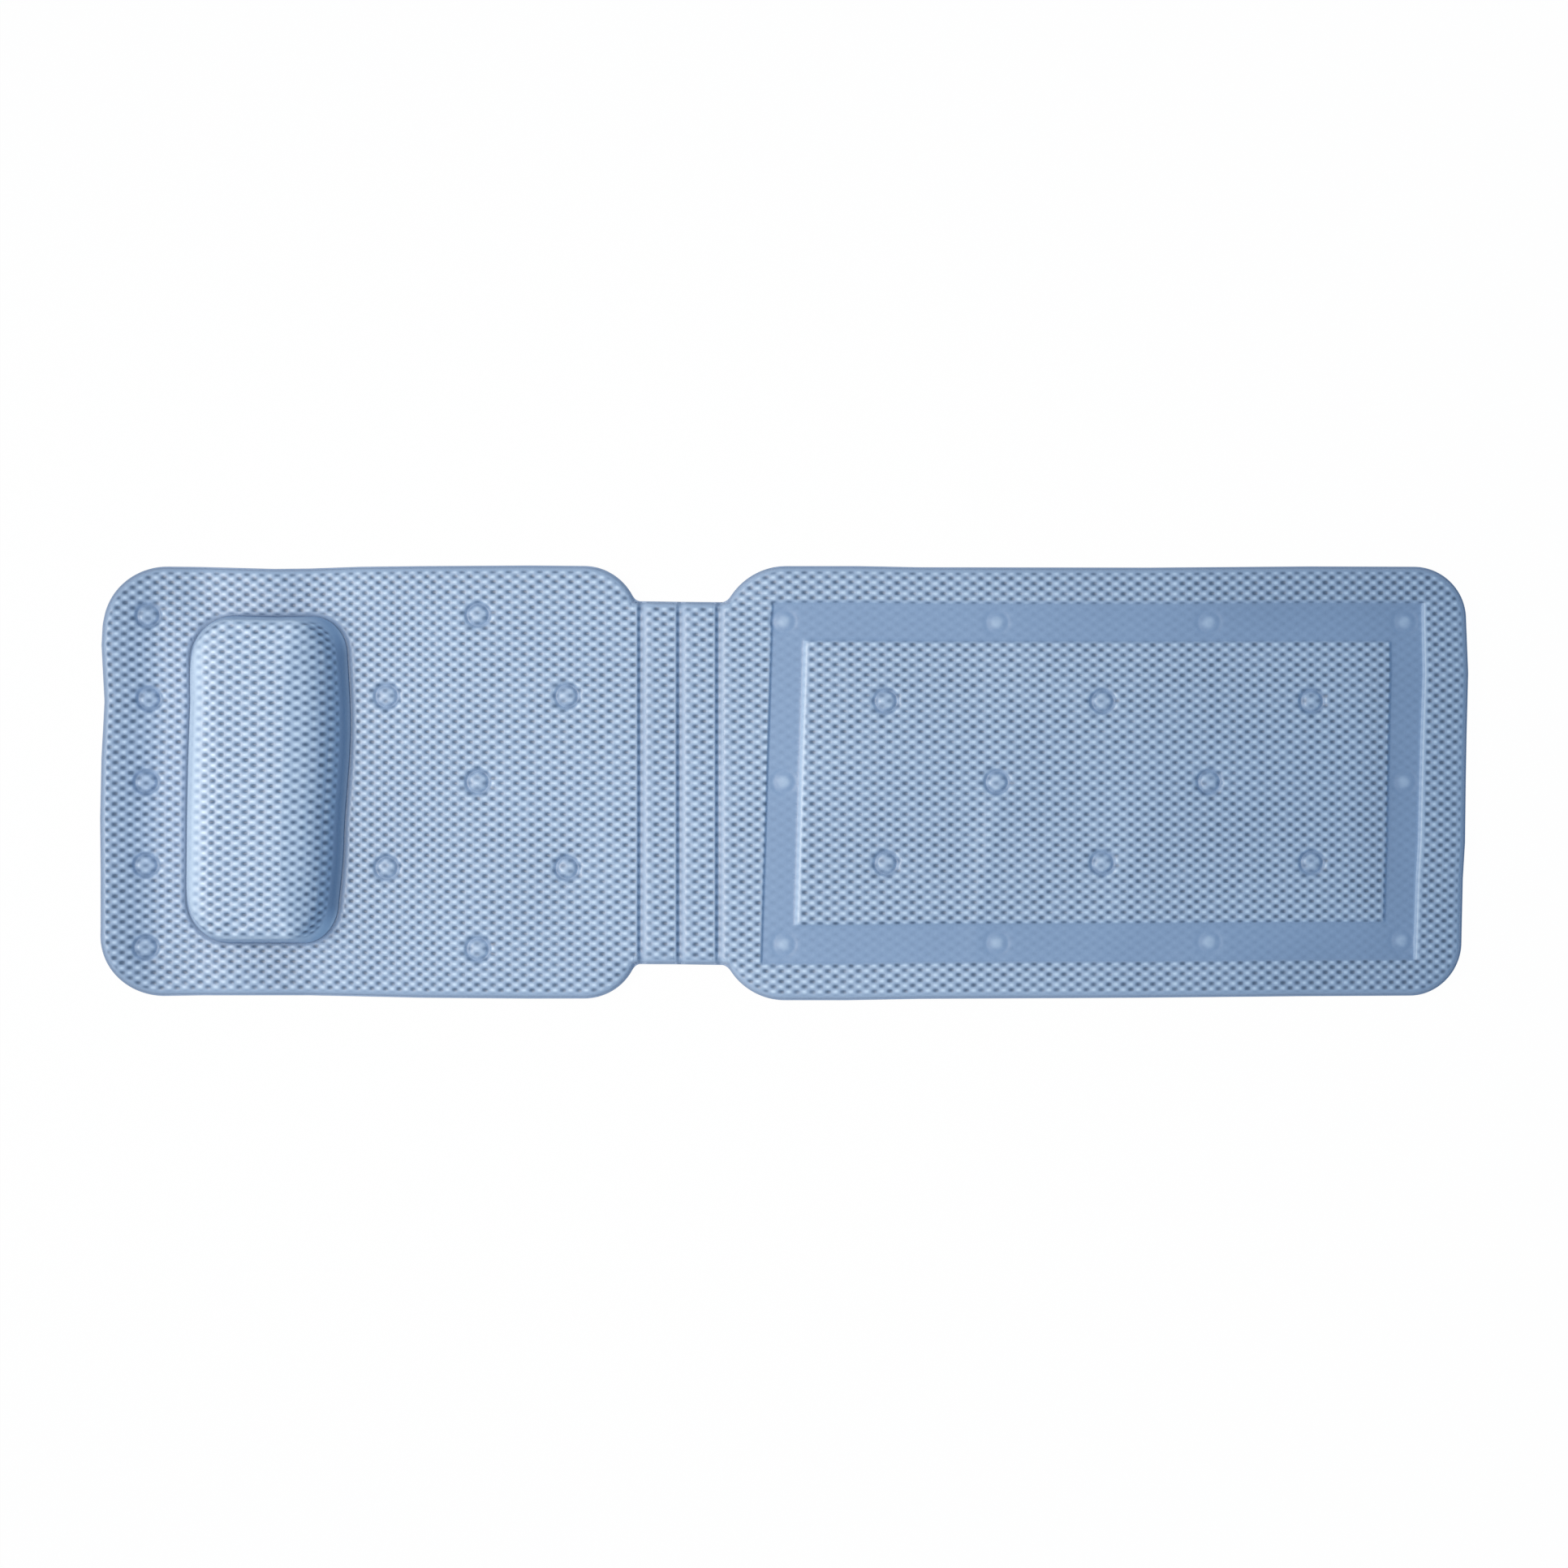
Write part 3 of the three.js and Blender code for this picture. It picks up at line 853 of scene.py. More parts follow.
def top_points(section):
    """Plan points of a skin, and how many of them are its boundary loop."""
    outline = section.outline
    insets = [0, 0.3, 0.7, 1.0, 1.35, 1.8, 2.2, 2.9, 3.3, 3.8, 4.8, 5.9]
    rings = [outline.ring(inset * MM, FINE) for inset in insets]
    rings[-2:] = [ring[section.from_free_edge(*ring.T) < 6.3 * MM] for ring in rings[-2:]]
    grid, even = weave_grid(outline, 4.3 * MM)
    inner = section.from_free_edge(*grid.T) > 6.6 * MM
    grid, even = grid[inner], even[inner]
    if section.walls:
        sparse = section.channel_share(*grid.T) > 0.999
        grid = grid[~sparse | even]
    extra = []
    for wall in section.walls:
        grid = grid[np.abs(section.from_wall(wall, *grid.T)) > WALL_CLEARANCE]
        for offset in (-1.9, -1.3, -0.65, 0, 0.65, 1.3, 1.9):
            ring = wall.ring(offset * MM, FINE)
            ring[:, 0] += section.lean(*ring.T)
            extra.append(ring)
    if len(section.cups):
        grid = grid[nearest_cup(*grid.T, section.cups) > RING_REACH + 0.7 * MM]
        extra += weld_ring_points(section)
    return np.concatenate(rings + extra + [grid]), len(rings[0])


def weld_ring_points(section):
    """Circles of plan points over each cup, clear of the channel's walls."""
    sets = []
    for cx, cy in section.cups:
        sets.append(np.array([[cx, cy]]))
        for radius in np.arange(1.2 * MM, RING_REACH, 1.2 * MM):
            count = max(6, round(2 * math.pi * radius / FINE))
            angle = np.arange(count) / count * 2 * math.pi
            circle = np.stack([cx + radius * np.cos(angle), cy + radius * np.sin(angle)], 1)
            for wall in section.walls:
                circle = circle[np.abs(section.from_wall(wall, *circle.T)) > 2.5 * MM]
            sets.append(circle)
    return sets


def under_points(outline, first_inset):
    """Coarse plan points, and how many are their loop. The loop's inset is in millimetres."""
    rings = [outline.ring(inset * MM, 2 * FINE) for inset in (first_inset, 1.2, 2.2, 3.6, 5.4)]
    columns = round((outline.x_max - outline.x_min) / COARSE)
    x = outline.x_min + (np.arange(columns) + 0.5) * COARSE
    rows = round(outline.half_y / COARSE)
    y = np.arange(-rows, rows + 1) * COARSE
    grid = np.stack([a.ravel() for a in np.meshgrid(x, y, indexing="ij")], 1)
    grid = grid[outline.inside(*grid.T) > 8 * MM]
    return np.concatenate(rings + [grid]), len(rings[0])


def build_skin(section):
    """The embossed top sheet, and its underside over the filling."""
    points = top_points(section)
    x, y = points[0].T
    spots = Spots(section, x, y)
    u, v, strength = column_phase(x), row_phase(y), spots.weave_strength()
    z = spots.plain_top() + spots.ring_relief() + weave_relief(u, v, strength)
    under = under_points(section.outline, 0.3)
    ceiling = Spots(section, *under[0].T).plain_top() - SKIN_THICKNESS
    open_share = smooth_mm(2.2, 5.4, section.outline.inside(*under[0].T))
    under_z = section.sheet_z + np.maximum(ceiling - section.sheet_z, 0) * open_share + 0.02 * MM
    fields = (u, v, strength, rim_share(spots.from_edge), spots.pressed_and_painted_shade(), spots.light(), spots.painted_shading())
    piece = shell(section.name + "_skin", points, z, under, under_z, fields)
    dress(piece, section.body, embossed, section.name + "_top_sheet")


def build_backing(section):
    """The smooth sheet under the padding, a little rounded below at its edge."""
    top, low = under_points(section.outline, 0.35), under_points(section.outline, 0.2)
    high_z = np.full(len(top[0]), section.sheet_z - 0.02 * MM)
    low_z = section.base_z + 0.35 * MM * (1 - smooth_mm(0, 1.5, section.outline.inside(*low[0].T)))
    piece = shell(section.name + "_backing", top, high_z, low, low_z)
    dress(piece, section.body, backing, section.name + "_base_sheet")


def build_foam(section):
    """The fibre and foam fill between the two sheets."""
    plan, loop = under_points(section.outline, 3.2)
    keep = section.outline.inside(*plan.T) > 3.5 * MM
    keep[:loop] = True
    plan = plan[keep]
    floor = section.sheet_z + FILL_GAP
    edge_z = floor + 0.4 * MM
    ceiling = Spots(section, *plan.T).plain_top() - SKIN_THICKNESS - FILL_GAP
    grown = smooth_mm(3.2, 6.5, section.outline.inside(*plan.T))
    top_z = edge_z + np.maximum(ceiling - edge_z, 0) * grown
    piece = shell(
        section.name + "_filling", (plan, loop), top_z, (plan, loop), np.full(len(plan), floor),
    )
    dress(piece, section.body, foam, section.name + "_foam")


# Head pillow

def flank(points, rows, lift):
    """A softened flank's inset and height at even steps up it, and the way still to go."""
    line = np.array(points) * MM + (0, lift)
    line = at_distances(line, np.arange(0, way_along(line)[-1], FLANK_STEP))
    half = round(FLANK_SOFTENING / FLANK_STEP)
    window = np.full(2 * half + 1, 1 / (2 * half + 1))
    for _ in range(2):
        before, after = 2 * line[0] - line[half:0:-1], 2 * line[-1] - line[-2:-half - 2:-1]
        longer = np.concatenate([before, line, after])
        line = np.column_stack([np.convolve(longer[:, k], window, "valid") for k in (0, 1)])
    length = way_along(line)[-1]
    at = np.linspace(0, length, rows)
    return (*at_distances(line, at).T, length - at)


def even_loop(outline, count):
    """Points at even distances round the outline, from the start of its first corner."""
    fine = outline.ring(0, 0.25 * MM)
    closed = np.concatenate([fine, fine[:1]])
    return at_distances(closed, np.arange(count) / count * way_along(closed)[-1])


def pillow_loft(outline, base_z, rows, count):
    """Rings of points up the pillow's flanks, and where each lies on the cover laid flat."""
    (low, low_z, low_way), (high, high_z, high_way), (end, end_z, end_way) = (
        np.array(flank(points, rows, base_z))[:, :, None]
        for points in (PILLOW_HEAD_FLANK, PILLOW_BACK_FLANK, PILLOW_END_FLANK)
    )
    base = even_loop(outline, count)
    x, y = base[:, 0] - outline.middle, base[:, 1]
    radius = np.where(x > 0, outline.r_max, outline.r_min)
    core_x, core_y = outline.half_x - radius, outline.half_y - radius
    corner_x = np.clip(np.abs(x) - core_x, 0, None) * np.sign(x)
    corner_y = np.clip(np.abs(y) - core_y, 0, None) * np.sign(y)
    length = np.maximum(np.hypot(corner_x, corner_y), 1e-9)
    out_x, out_y = corner_x / length, corner_y / length
    backward, across = smooth(-0.6, 0.6, x / outline.half_x), out_x ** 2
    half_x, half_y = outline.half_x - (low + high) / 2, outline.half_y - end
    rx, ry = radius * half_x / outline.half_x, radius * half_y / outline.half_y
    inner_x = np.clip(x, -core_x, core_x) * ((half_x - rx) / core_x)
    inner_y = np.clip(y, -core_y, core_y) * ((half_y - ry) / core_y)
    x, y = outline.middle + (low - high) / 2 + inner_x + out_x * rx, inner_y + out_y * ry
    z = across * (low_z + (high_z - low_z) * backward) + (1 - across) * end_z
    spare = np.where(out_x < 0, low_way - (low[-1] - low), high_way - (high[-1] - high))
    flat_x = x + out_x * (FLANK_STRETCH * spare)
    flat_y = y + out_y * FLANK_STRETCH * (end_way - (end[-1] - end))
    return np.stack([x, y, z], 2), np.stack([flat_x, flat_y], 2)


def swelling(outline, base_z):
    """How air pressure moves the cover: cloth on a coarse copy of the loft, held at its foot."""
    rings, _ = pillow_loft(outline, base_z, SWELL_ROWS, SWELL_COLUMNS)
    start = rings.reshape(-1, 3)
    cap = triangulate(rings[-1, :, :2], SWELL_COLUMNS) + (SWELL_ROWS - 1) * SWELL_COLUMNS
    draft = make_mesh("pillow_draft", start, [bands(SWELL_ROWS, SWELL_COLUMNS), cap])
    held = draft.vertex_groups.new(name="held")
    held.add(list(range(SWELL_HELD_ROWS * SWELL_COLUMNS)), 1.0, "REPLACE")
    cloth = draft.modifiers.new("cloth", "CLOTH").settings
    cloth.vertex_group_mass = "held"
    cloth.use_pressure = True
    cloth.uniform_pressure_force = SWELL_PRESSURE
    cloth.effector_weights.gravity = 0
    for number in range(1, SWELL_FRAMES + 1):
        bpy.context.scene.frame_set(number)
    settled = draft.evaluated_get(bpy.context.evaluated_depsgraph_get()).data
    move = read_points(settled) - start
    bpy.data.objects.remove(draft)
    bpy.context.scene.frame_set(1)
    length = np.maximum(np.hypot(np.hypot(*move.T[:2]), move[:, 2]), 1e-9)[:, None]
    move = move * (SWELL_LIMIT * np.tanh(length / SWELL_LIMIT) / length)
    return move.reshape(SWELL_ROWS, SWELL_COLUMNS, 3)


def spread(move, rows, count):
    """The coarse loft's moves at every ring and column of the fine one."""
    columns = np.concatenate([move, move[:, :1]], 1).swapaxes(0, 1)
    around = between(columns, np.arange(count) / count * SWELL_COLUMNS).swapaxes(0, 1)
    return between(around, np.arange(rows) / (rows - 1) * (SWELL_ROWS - 1))


def between(values, at):
    """The rows of an array at whole and fractional row numbers."""
    row = np.minimum(at.astype(int), len(values) - 2)
    share = (at - row)[:, None, None]
    return values[row] * (1 - share) + values[row + 1] * share


def slump(places):
    """Moves the pillow's points to its uneven plan."""
    x, y, z = places.T
    return np.column_stack([x + pillow_shift(x, y), y + PILLOW_OFFSET, z])


def pillow_weave_strength(x, y, height):
    """The weave is stretched out of the head side and the corners, and stops above the foot."""
    strength = smooth_mm(5, 25, x - PILLOW.x_min) * smooth_mm(3, 8, PILLOW.inside(x, y))
    return strength * smooth_mm(11, 24, height)


def pillow_painted_shading(x, y, height):
    """The pillow's three shares, of darker tint, light and deeper tone, all painted: painted light on
    the head side that faces the lamp, on the ends, the back corners, the top and a band of the back
    flank, and painted shade at its foot.
    """
    from_back, from_end = PILLOW.x_max - x, PILLOW.half_y - np.abs(y)
    head_side = 1 - smooth_mm(24, 60, x - PILLOW.x_min)
    # Painted shade at the foot, more on the head side
    pressed_and_painted_shade = (1 - smooth_mm(2, 12, height)) * (0.3 + 0.7 * head_side)
    # Painted light on the head side that faces the lamp, on the ends and on the back corners
    light = 0.72 * head_side * smooth_mm(8, 24, height) * smooth_mm(2.5, 9, from_end)
    end_light = smooth_mm(2.5, 5, from_end) * (1 - smooth_mm(9, 18, from_end))
    light = np.maximum(light, 0.5 * end_light * smooth_mm(30, 44, height))
    corner = (1 - smooth_mm(16, 44, from_back)) * (1 - smooth_mm(10, 34, from_end))
    light = np.maximum(light, corner * np.where(y < 0, 0.7, 0.35))
    # Painted shade at the foot, less on the head side and corners; painted light on the top and on a
    # band of the back flank
    painted_shading = 1.2 * (1 - head_side) * (1 - smooth_mm(8, 22, height)) * (1 - corner)
    painted_shading = painted_shading - 0.22 * smooth_mm(40, 48, height) * (1 + 0.7 * smooth_mm(70, 125, y))
    painted_shading = painted_shading - 0.6 * smooth_mm(18, 28, from_back) * (1 - smooth_mm(42, 56, from_back))
    return pressed_and_painted_shade, light, painted_shading


def top_line(ring):
    """Points along the middle of the pillow's top, level with its last ring."""
    y, z = ring[:, 1], ring[:, 2]
    along = np.arange(y.min() + 1 * MM, y.max() - 1 * MM, 1.2 * MM)
    order = np.argsort(y)
    level = np.interp(along, y[order], np.convolve(z[order], np.ones(9) / 9, "same"))
    return np.column_stack([
        np.full(len(along), ring[:, 0].mean()), along, np.clip(level, z.min(), z.max()),
    ])


def build_pillow():
    """The cover: flanks up to a middle line, swollen by the air in it, and embossed."""
    base_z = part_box("pillow_cover")[0].z
    count = PILLOW_COLUMNS
    rings, flat = pillow_loft(PILLOW, base_z, PILLOW_ROWS, count)
    rings = rings + spread(swelling(PILLOW, base_z), PILLOW_ROWS, count)
    middle = top_line(rings[-1])
    vertices = np.concatenate([rings.reshape(-1, 3), middle])
    flat = np.concatenate([flat.reshape(-1, 2), middle[:, :2]])
    x, y, height = vertices[:, 0], vertices[:, 1], vertices[:, 2] - base_z
    u, v = (flat[:, 0] - PILLOW.middle) / PILLOW_COLUMN_PERIOD, row_phase(flat[:, 1])
    strength = pillow_weave_strength(x, y, height)
    cap = triangulate(vertices[-count - len(middle):, :2], count) + (PILLOW_ROWS - 1) * count
    piece = make_mesh(
        "pillow_skin", slump(vertices), [bands(PILLOW_ROWS, count), cap, np.arange(count)[None, ::-1]],
        (u, v, strength, np.zeros(len(x)), *pillow_painted_shading(x, y, height)),
    )
    relief = weave_relief(u, v, strength)[:, None]
    mesh = piece.data
    write_points(mesh, read_points(mesh) + read_points(mesh, "normal") * relief)
    dress(piece, "back_section", embossed, "pillow_cover")


def build_pillow_foam():
    """The foam block: a smaller and lower loft inside the cover."""
    low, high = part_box("pillow_foam")
    inset = low.x - PILLOW.x_min
    outline = Outline(low.x, high.x, high.y, PILLOW_HEAD_RADIUS - inset, PILLOW_BACK_RADIUS - inset)
    rings, _ = pillow_loft(outline, 0, FOAM_ROWS, FOAM_COLUMNS)
    rings = rings[FOAM_FIRST_RING:-1] * (1, 1, FOAM_HEIGHT_SHARE) + (0, 0, low.z)
    lid = np.arange(FOAM_COLUMNS)[None, :]
    faces = [bands(len(rings), FOAM_COLUMNS), lid + (len(rings) - 1) * FOAM_COLUMNS, lid[:, ::-1]]
    piece = make_mesh("pillow_filling", slump(rings.reshape(-1, 3)), faces)
    dress(piece, "back_section", foam, "pillow_foam")


# Suction cups

def cup_mesh():
    """A soft round cup: thin lip, hollow skirt, waisted stem and a round weld plate."""
    profile = np.array(CUP_PROFILE) * MM
    index = np.arange(CUP_SIDES)
    after, angle = (index + 1) % CUP_SIDES, index / CUP_SIDES * 2 * math.pi
    rings = [
        np.column_stack([r * np.cos(angle), r * np.sin(angle), np.full(CUP_SIDES, z)])
        for r, z in profile[1:-1]
    ]
    vertices = np.concatenate([[(0, 0, profile[0, 1])], *rings, [(0, 0, profile[-1, 1])]])
    last = 1 + (len(rings) - 1) * CUP_SIDES
    fans = [
        np.column_stack([np.zeros(CUP_SIDES, int), after + 1, index + 1]),
        np.column_stack([np.full(CUP_SIDES, last + CUP_SIDES), index + last, after + last]),
    ]
    piece = make_mesh("cup_template", vertices, [bands(len(rings), CUP_SIDES) + 1] + fans)
    mesh = piece.data
    bpy.data.objects.remove(piece)
    mesh.materials.append(clear)
    return mesh


def build_cup(node, body, mesh):
    piece = add_object(node.replace("suction_cup", "cup"), mesh)
    x, y = np.array(centre(node)[:2]).reshape(2, 1)
    move_x, move_y = drift(x, y)
    piece.location = [float(place[0]) for place in (x + move_x, y + move_y, warp(x, y, body))]
    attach(piece, body)
    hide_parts(node)


# Fold webs

def web_limits(y, left, right):
    """X of the web's two sides at each y, tucked just under the sections' skins."""
    within = smooth_mm(0, 1, NECK_HALF - np.abs(y))
    overlap = WEB_OVERLAP + (WEB_REACH - WEB_OVERLAP) * within
    x_left, x_right = (
        part.outline.side(np.clip(y, -part.outline.half_y, part.outline.half_y), side)
        - side * overlap for part, side in ((left, 1), (right, -1))
    )
    past = np.clip((np.abs(y) - NECK_HALF) / NECK_FILLET, 0, 1)
    fillet = NECK_FILLET * (1 - np.sqrt(np.clip(1 - (1 - past) ** 2, 0, 1))) + 0.05 * MM
    beyond = np.abs(y) > NECK_HALF
    if left.wide:
        x_right = np.where(beyond, x_left + WEB_OVERLAP + fillet, x_right)
    if right.wide:
        x_left = np.where(beyond, x_right - WEB_OVERLAP - fillet, x_left)
    return x_left, x_right


def web_heights(x, y, x_left, x_right, axis_x, axis_z, left, right, relief):
    """Top and bottom of the web: a valley, and a thin sheet over the skins' shelves."""
    from_axis = np.abs(x - axis_x)
    shares = [padding_share(part.from_free_edge(x, y), part.crown_width) for part in (left, right)]
    share = shares[0] + (shares[1] - shares[0]) * smooth(-FOLD_LIP, FOLD_LIP, x - axis_x)
    low_z = axis_z + WEB_TOP
    rise = (RIB_TOP - RIB_FLANGE) * share * (1 - valley_share(x - axis_x))
    crease = WELD_LINE_DEPTH * bell(from_axis, WELD_LINE_WIDTH) * share
    to_side = np.minimum(x - x_left, x_right - x)
    tuck = (0.12 * (1 - smooth_mm(0.02, 0.22, to_side)) - 0.02) * MM * share
    top = low_z + (RIB_FLANGE - low_z) * share + rise + relief - crease - tuck
    sheet = smooth(FOLD_LIP, 2 * FOLD_LIP, from_axis) * share
    bottom = axis_z + WEB_BOTTOM
    return top, bottom + sheet * np.maximum(top - WEB_SHEET - bottom, 0)


def slab_faces(rows, cols):
    """Faces of a slab from two grids: its top, its bottom and the wall round them."""
    index, count = np.arange(rows * cols).reshape(rows, cols), rows * cols
    corners = (index[:-1, :-1], index[:-1, 1:], index[1:, 1:], index[1:, :-1])
    upper = np.column_stack([corner.ravel() for corner in corners])
    lower = upper[:, [0, 3, 2, 1]] + count
    loop = np.concatenate([index[0, :-1], index[:-1, -1], index[-1, :0:-1], index[:0:-1, 0]])
    after = np.roll(loop, -1)
    return [upper, lower, np.column_stack([loop + count, after + count, after, loop])]


def build_web(index, left, right):
    """The welded strip of sheet between two sections. It also fills the notch at each end."""
    name = f"fold_weld_{index}"
    axis_x, _, axis_z = centre(name)
    y = np.linspace(-NECK_HALF, NECK_HALF, 281)
    if left.wide or right.wide:
        end = NECK_HALF + np.linspace(0, 1, 9) ** 1.6 * NECK_FILLET + 0.01 * MM
        y = np.concatenate([-end[::-1], y, end])
    x_left, x_right = (limit[:, None] for limit in web_limits(y, left, right))
    across = np.concatenate([[0, 0.01, 0.025], np.linspace(0.05, 0.95, 27), [0.975, 0.99, 1]])
    grid_x = x_left + (x_right - x_left) * across
    grid_y = np.broadcast_to(y[:, None], grid_x.shape)
    u, v = column_phase(grid_x), row_phase(grid_y)
    past_axis, from_end = grid_x - axis_x, NECK_HALF - np.abs(grid_y)
    strength = margin_share(from_end) * fold_weave_share(past_axis)
    heights = web_heights(
        grid_x, grid_y, x_left, x_right, axis_x, axis_z, left, right, weave_relief(u, v, strength),
    )
    # Painted shade along the fold's valley, and painted light on the smooth bank past it that faces
    # the head
    line = 1 - smooth_mm(0.8, 4.0, np.abs(past_axis))
    painted_shading = 1.3 * line + mounds(PAINTED_SHADING_MOUNDS, grid_x, grid_y)
    fields = (u, v, strength, rim_share(from_end), 0.25 * line, fold_painted_light_share(past_axis), painted_shading)
    places = [np.column_stack([a.ravel() for a in (grid_x, grid_y, height)]) for height in heights]
    piece = make_mesh(
        f"fold_web_{index}", np.concatenate(places), slab_faces(*grid_x.shape),
        [np.concatenate([field.ravel(), np.zeros(grid_x.size)]) for field in fields],
    )
    settle(piece, "neck_rib_1")
    piece.data.materials.append(embossed)
    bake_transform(piece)
    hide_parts(name)


# Shader nodes

class Term:
    """A node's output, whose arithmetic adds math nodes to its tree."""

    def __init__(self, tree, socket):
        self.tree, self.socket = tree, socket

    def math(self, operation, other=0.0, clamp=False):
        return add_node(self.tree, "Math", {0: self, 1: other}, operation=operation, use_clamp=clamp)

    __add__ = partialmethod(math, "ADD")
    __sub__ = partialmethod(math, "SUBTRACT")
    __mul__ = partialmethod(math, "MULTIPLY")
    __pow__ = partialmethod(math, "POWER")


def feed(node, inputs):
    """Gives a node's inputs plain values, or links terms to them."""
    for key, value in inputs.items():
        if isinstance(value, Term):
            value.tree.links.new(value.socket, node.inputs[key])
        else:
            node.inputs[key].default_value = value


def add_node(tree, kind, inputs, output=0, **settings):
    node = tree.nodes.new("ShaderNode" + kind)
    for key, value in settings.items():
        setattr(node, key, value)
    feed(node, inputs)
    return Term(tree, node.outputs[output])


def noise(tree, scale, detail, roughness=0.5):
    """Noise about a half, fixed to the piece."""
    place = add_node(tree, "TexCoord", {}, "Object")
    inputs = {"Vector": place, "Scale": scale, "Detail": detail, "Roughness": roughness}
    return add_node(tree, "TexNoise", inputs, "Fac")


def tint(tree, colour, share, multiplier):
    """Multiplies a colour by another as far as the share says."""
    inputs = {"Factor": share, "A": colour, "B": (*multiplier, 1)}
    return add_node(tree, "Mix", inputs, "Result", data_type="RGBA", blend_type="MULTIPLY")


def ramp(tree, place, stops):
    """A colour ramp through stops of place and colour."""
    node = tree.nodes.new("ShaderNodeValToRGB")
    elements = node.color_ramp.elements
    elements[0].position, elements[1].position = stops[0][0], stops[-1][0]
    for position, _ in stops[1:-1]:
        elements.new(position)
    for element, (_, colour) in zip(elements, stops):
        element.color = (*colour, 1)
    feed(node, {"Fac": place})
    return Term(tree, node.outputs["Color"])


def bump(tree, height, strength, distance):
    inputs = {"Height": height, "Strength": strength, "Distance": distance}
    return add_node(tree, "Bump", inputs, "Normal")


# Materials

def new_material(name):
    material = bpy.data.materials.new(name)
    material.use_nodes = True
    return material, material.node_tree, material.node_tree.nodes["Principled BSDF"]


def embossed_material():
    """Expanded vinyl with the basket weave: light bars that are a painted highlight, dark pits that
    are painted shade, and fine pores.
    """
    material, tree, shader = new_material("embossed_vinyl")
    u, v, strength, rim, pressed_and_painted_shade, light, painted_shading = (
        add_node(tree, "Attribute", {}, "Fac", attribute_name=key) for key in FIELDS
    )
    turn = 2 * math.pi
    # Painted shade in the pits, moved footwards, and a painted highlight on the bars
    wave = ((u - PIT_PAINTED_SHADE_SHIFT) * turn).math("COSINE") * (v * turn).math("COSINE")
    pit = wave.math("MAXIMUM", 0.0) ** PIT_POWER * (noise(tree, 85.0, 1.0) + 0.5)
    bar = wave.math("MULTIPLY", -1.0, clamp=True) ** BAR_POWER
    smooth_share = strength * -1.0 + 1.0
    pore = noise(tree, 420.0, 2.0) - 0.5
    # Painted light lifts smooth vinyl on slopes that face the lamp
    tone = (pit * PIT_PAINTED_SHADE - bar * BAR_PAINTED_HIGHLIGHT) * strength - smooth_share * light * PAINTED_LIGHT_TONE
    # Painted shade and light from its field, then random clouds and pores in the vinyl's own tone
    tone = tone + painted_shading * PAINTED_SHADING_STEP + (noise(tree, 9.0, 2.0) - 0.5) * CLOUD_TONE + pore * PORE_TONE
    colour = ramp(tree, tone.math("ADD", MEAN_TONE, clamp=True), VINYL_RAMP)
    # The darker tint for pressed vinyl and painted shade, then the rim's tint on the welded edge
    colour = tint(tree, tint(tree, colour, pressed_and_painted_shade, PRESSED_AND_PAINTED_SHADE_TINT), rim, RIM_TINT)
    feed(shader, {
        "Base Color": colour, "Roughness": pore * 0.15 + 0.45, "Specular IOR Level": 0.5,
        "Normal": bump(tree, pore, 0.35, 0.13 * MM),
    })
    return material


def mottled_material(name, cloud, tones, inputs, grain=None):
    """Two close tones in clouds, with a fine bump: noise settings, strength and distance."""
    material, tree, shader = new_material(name)
    colour = ramp(tree, noise(tree, *cloud), list(zip((0.0, 1.0), tones)))
    feed(shader, {"Base Color": colour, **inputs})
    if grain:
        settings, strength, distance = grain
        feed(shader, {"Normal": bump(tree, noise(tree, *settings), strength, distance)})
    return material


# Stage, light and camera

def show_white(tree, output, lit, white, share):
    """White to the camera, in gloss and through clear parts; lit as given to everything else."""
    path = tree.nodes.new("ShaderNodeLightPath").outputs
    seen = Term(tree, path["Is Camera Ray"])
    for kind in ("Glossy", "Transmission"):
        seen = seen.math("MAXIMUM", Term(tree, path[f"Is {kind} Ray"]))
    mix = add_node(tree, "MixShader", {"Fac": seen * share, 1: lit, 2: white})
    feed(tree.nodes.new("ShaderNodeOutput" + output), {"Surface": mix})


def build_stage():
    bpy.ops.mesh.primitive_plane_add(size=30, location=(0, 0, -0.05 * MM))
    floor = bpy.context.object
    floor.name = "floor"
    material, tree, _ = new_material("floor")
    tree.nodes.clear()
    lit = add_node(tree, "BsdfDiffuse", {"Color": FLOOR_COLOUR})
    white = add_node(tree, "Emission", {"Strength": 1.0})
    show_white(tree, "Material", lit, white, FLOOR_WHITE_SHARE)
    floor.data.materials.append(material)


def build_world():
    world = bpy.data.worlds.new("world")
    bpy.context.scene.world = world
    world.use_nodes = True
    tree = world.node_tree
    tree.nodes.clear()
    lit = add_node(tree, "Background", {"Color": FILL_COLOUR, "Strength": FILL_STRENGTH})
    white = add_node(tree, "Background", {"Color": WHITE, "Strength": 1.0})
    show_white(tree, "World", lit, white, 1.0)


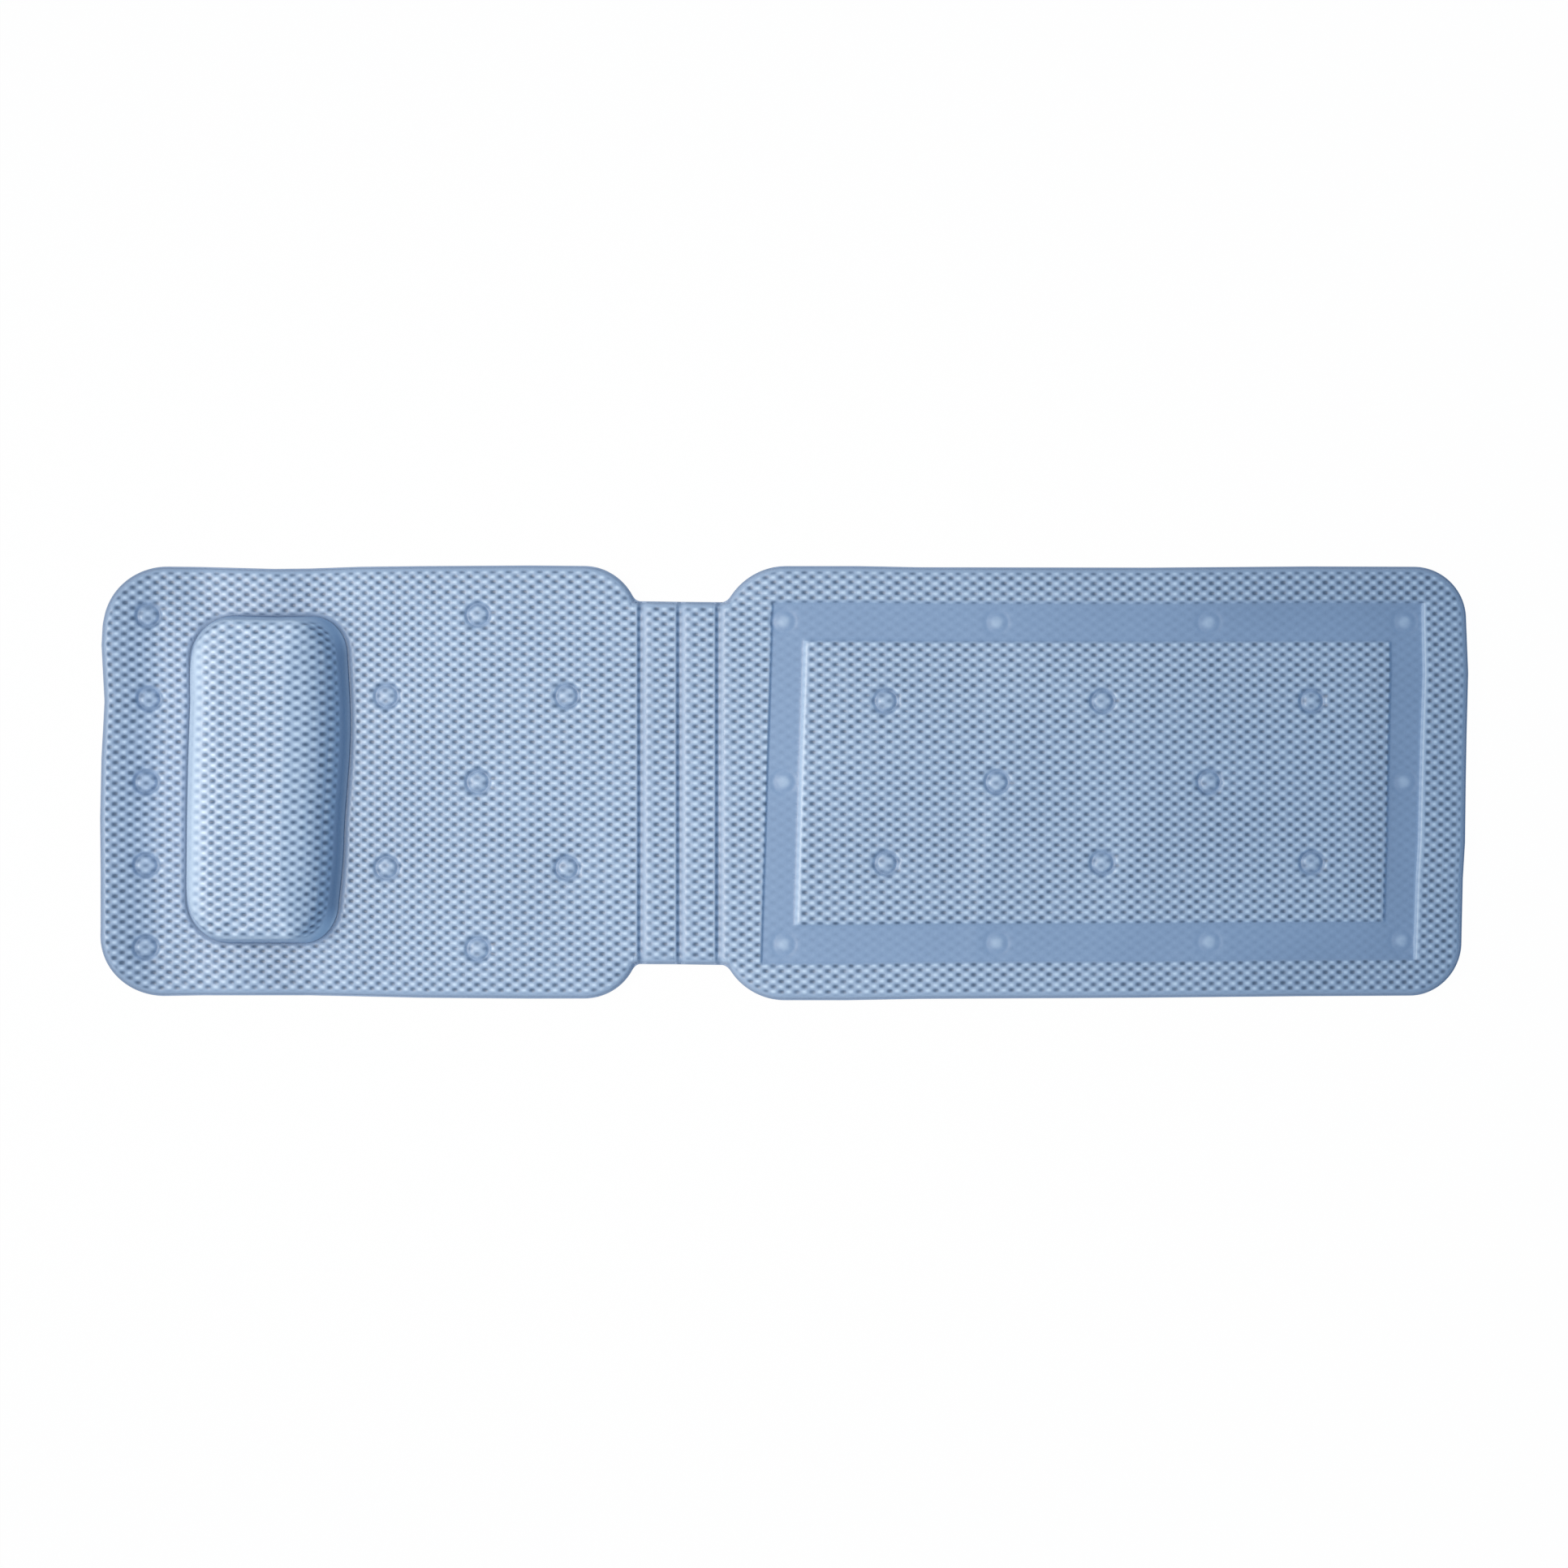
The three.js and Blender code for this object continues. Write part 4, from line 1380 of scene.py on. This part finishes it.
def build_key_light():
    data = bpy.data.lights.new("key", "AREA")
    data.shape = "RECTANGLE"
    data.size, data.size_y = KEY_SIZE
    data.energy, data.color, data.spread = KEY_POWER, KEY_COLOUR, KEY_SPREAD
    lamp = add_object("key", data)
    lamp.location = KEY_PLACE
    lamp.rotation_euler = (KEY_TARGET - KEY_PLACE).to_track_quat("-Z", "Y").to_euler()


def build_camera():
    """From straight above, with the photo's width in view at the level of the mat's top."""
    data = bpy.data.cameras.new("camera")
    data.sensor_width = 36
    away = CAMERA_PLACE[2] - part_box("seat_top_sheet")[1].z
    data.lens = data.sensor_width * away / PHOTO_WIDTH
    data.clip_end = 100
    camera = add_object("camera", data)
    camera.location = CAMERA_PLACE
    bpy.context.scene.camera = camera


# The whole mat

embossed = embossed_material()
backing = mottled_material(
    "backing_vinyl", (7.0, 2.0), ((0.30, 0.41, 0.57), (0.38, 0.49, 0.65)), {"Roughness": 0.42},
    ((260.0, 3.0), 0.2, 0.2 * MM),
)
clear = mottled_material(
    "clear_vinyl", (60.0, 2.0), ((0.66, 0.77, 0.87), (0.76, 0.85, 0.93)),
    {"Roughness": 0.18, "IOR": 1.5, "Transmission Weight": 0.65},
)
foam = mottled_material(
    "foam_fill", (500.0, 4.0, 0.7), ((0.62, 0.58, 0.47), (0.84, 0.81, 0.72)), {"Roughness": 0.95},
    ((500.0, 4.0, 0.7), 0.5, 0.4 * MM),
)

rib_form = ((RIB_RADIUS, RIB_RADIUS), RIB_CROWN_WIDTH, (True, True))
sections = [
    Section("back", "back_section", (HEAD_RADIUS, BACK_FOLD_RADIUS), CROWN_WIDTH, (False, True)),
    Section("neck_rib_1", "neck_rib_1", *rib_form),
    Section("neck_rib_2", "neck_rib_2", *rib_form),
    Section("seat", "seat_section", (SEAT_FOLD_RADIUS, FOOT_RADIUS), CROWN_WIDTH, (True, False), True),
]
for part in sections:
    build_skin(part)
    build_backing(part)
    build_foam(part)

build_pillow()
build_pillow_foam()

for number, (left, right) in enumerate(zip(sections, sections[1:]), start=1):
    build_web(number, left, right)

template = cup_mesh()
for body, members in frame["record"]["behaviour"]["bodies"].items():
    for node in members:
        if "_suction_cup_" in node:
            build_cup(node, body, template)

build_stage()
build_world()
build_key_light()
build_camera()
bpy.context.scene.view_settings.view_transform = "Standard"
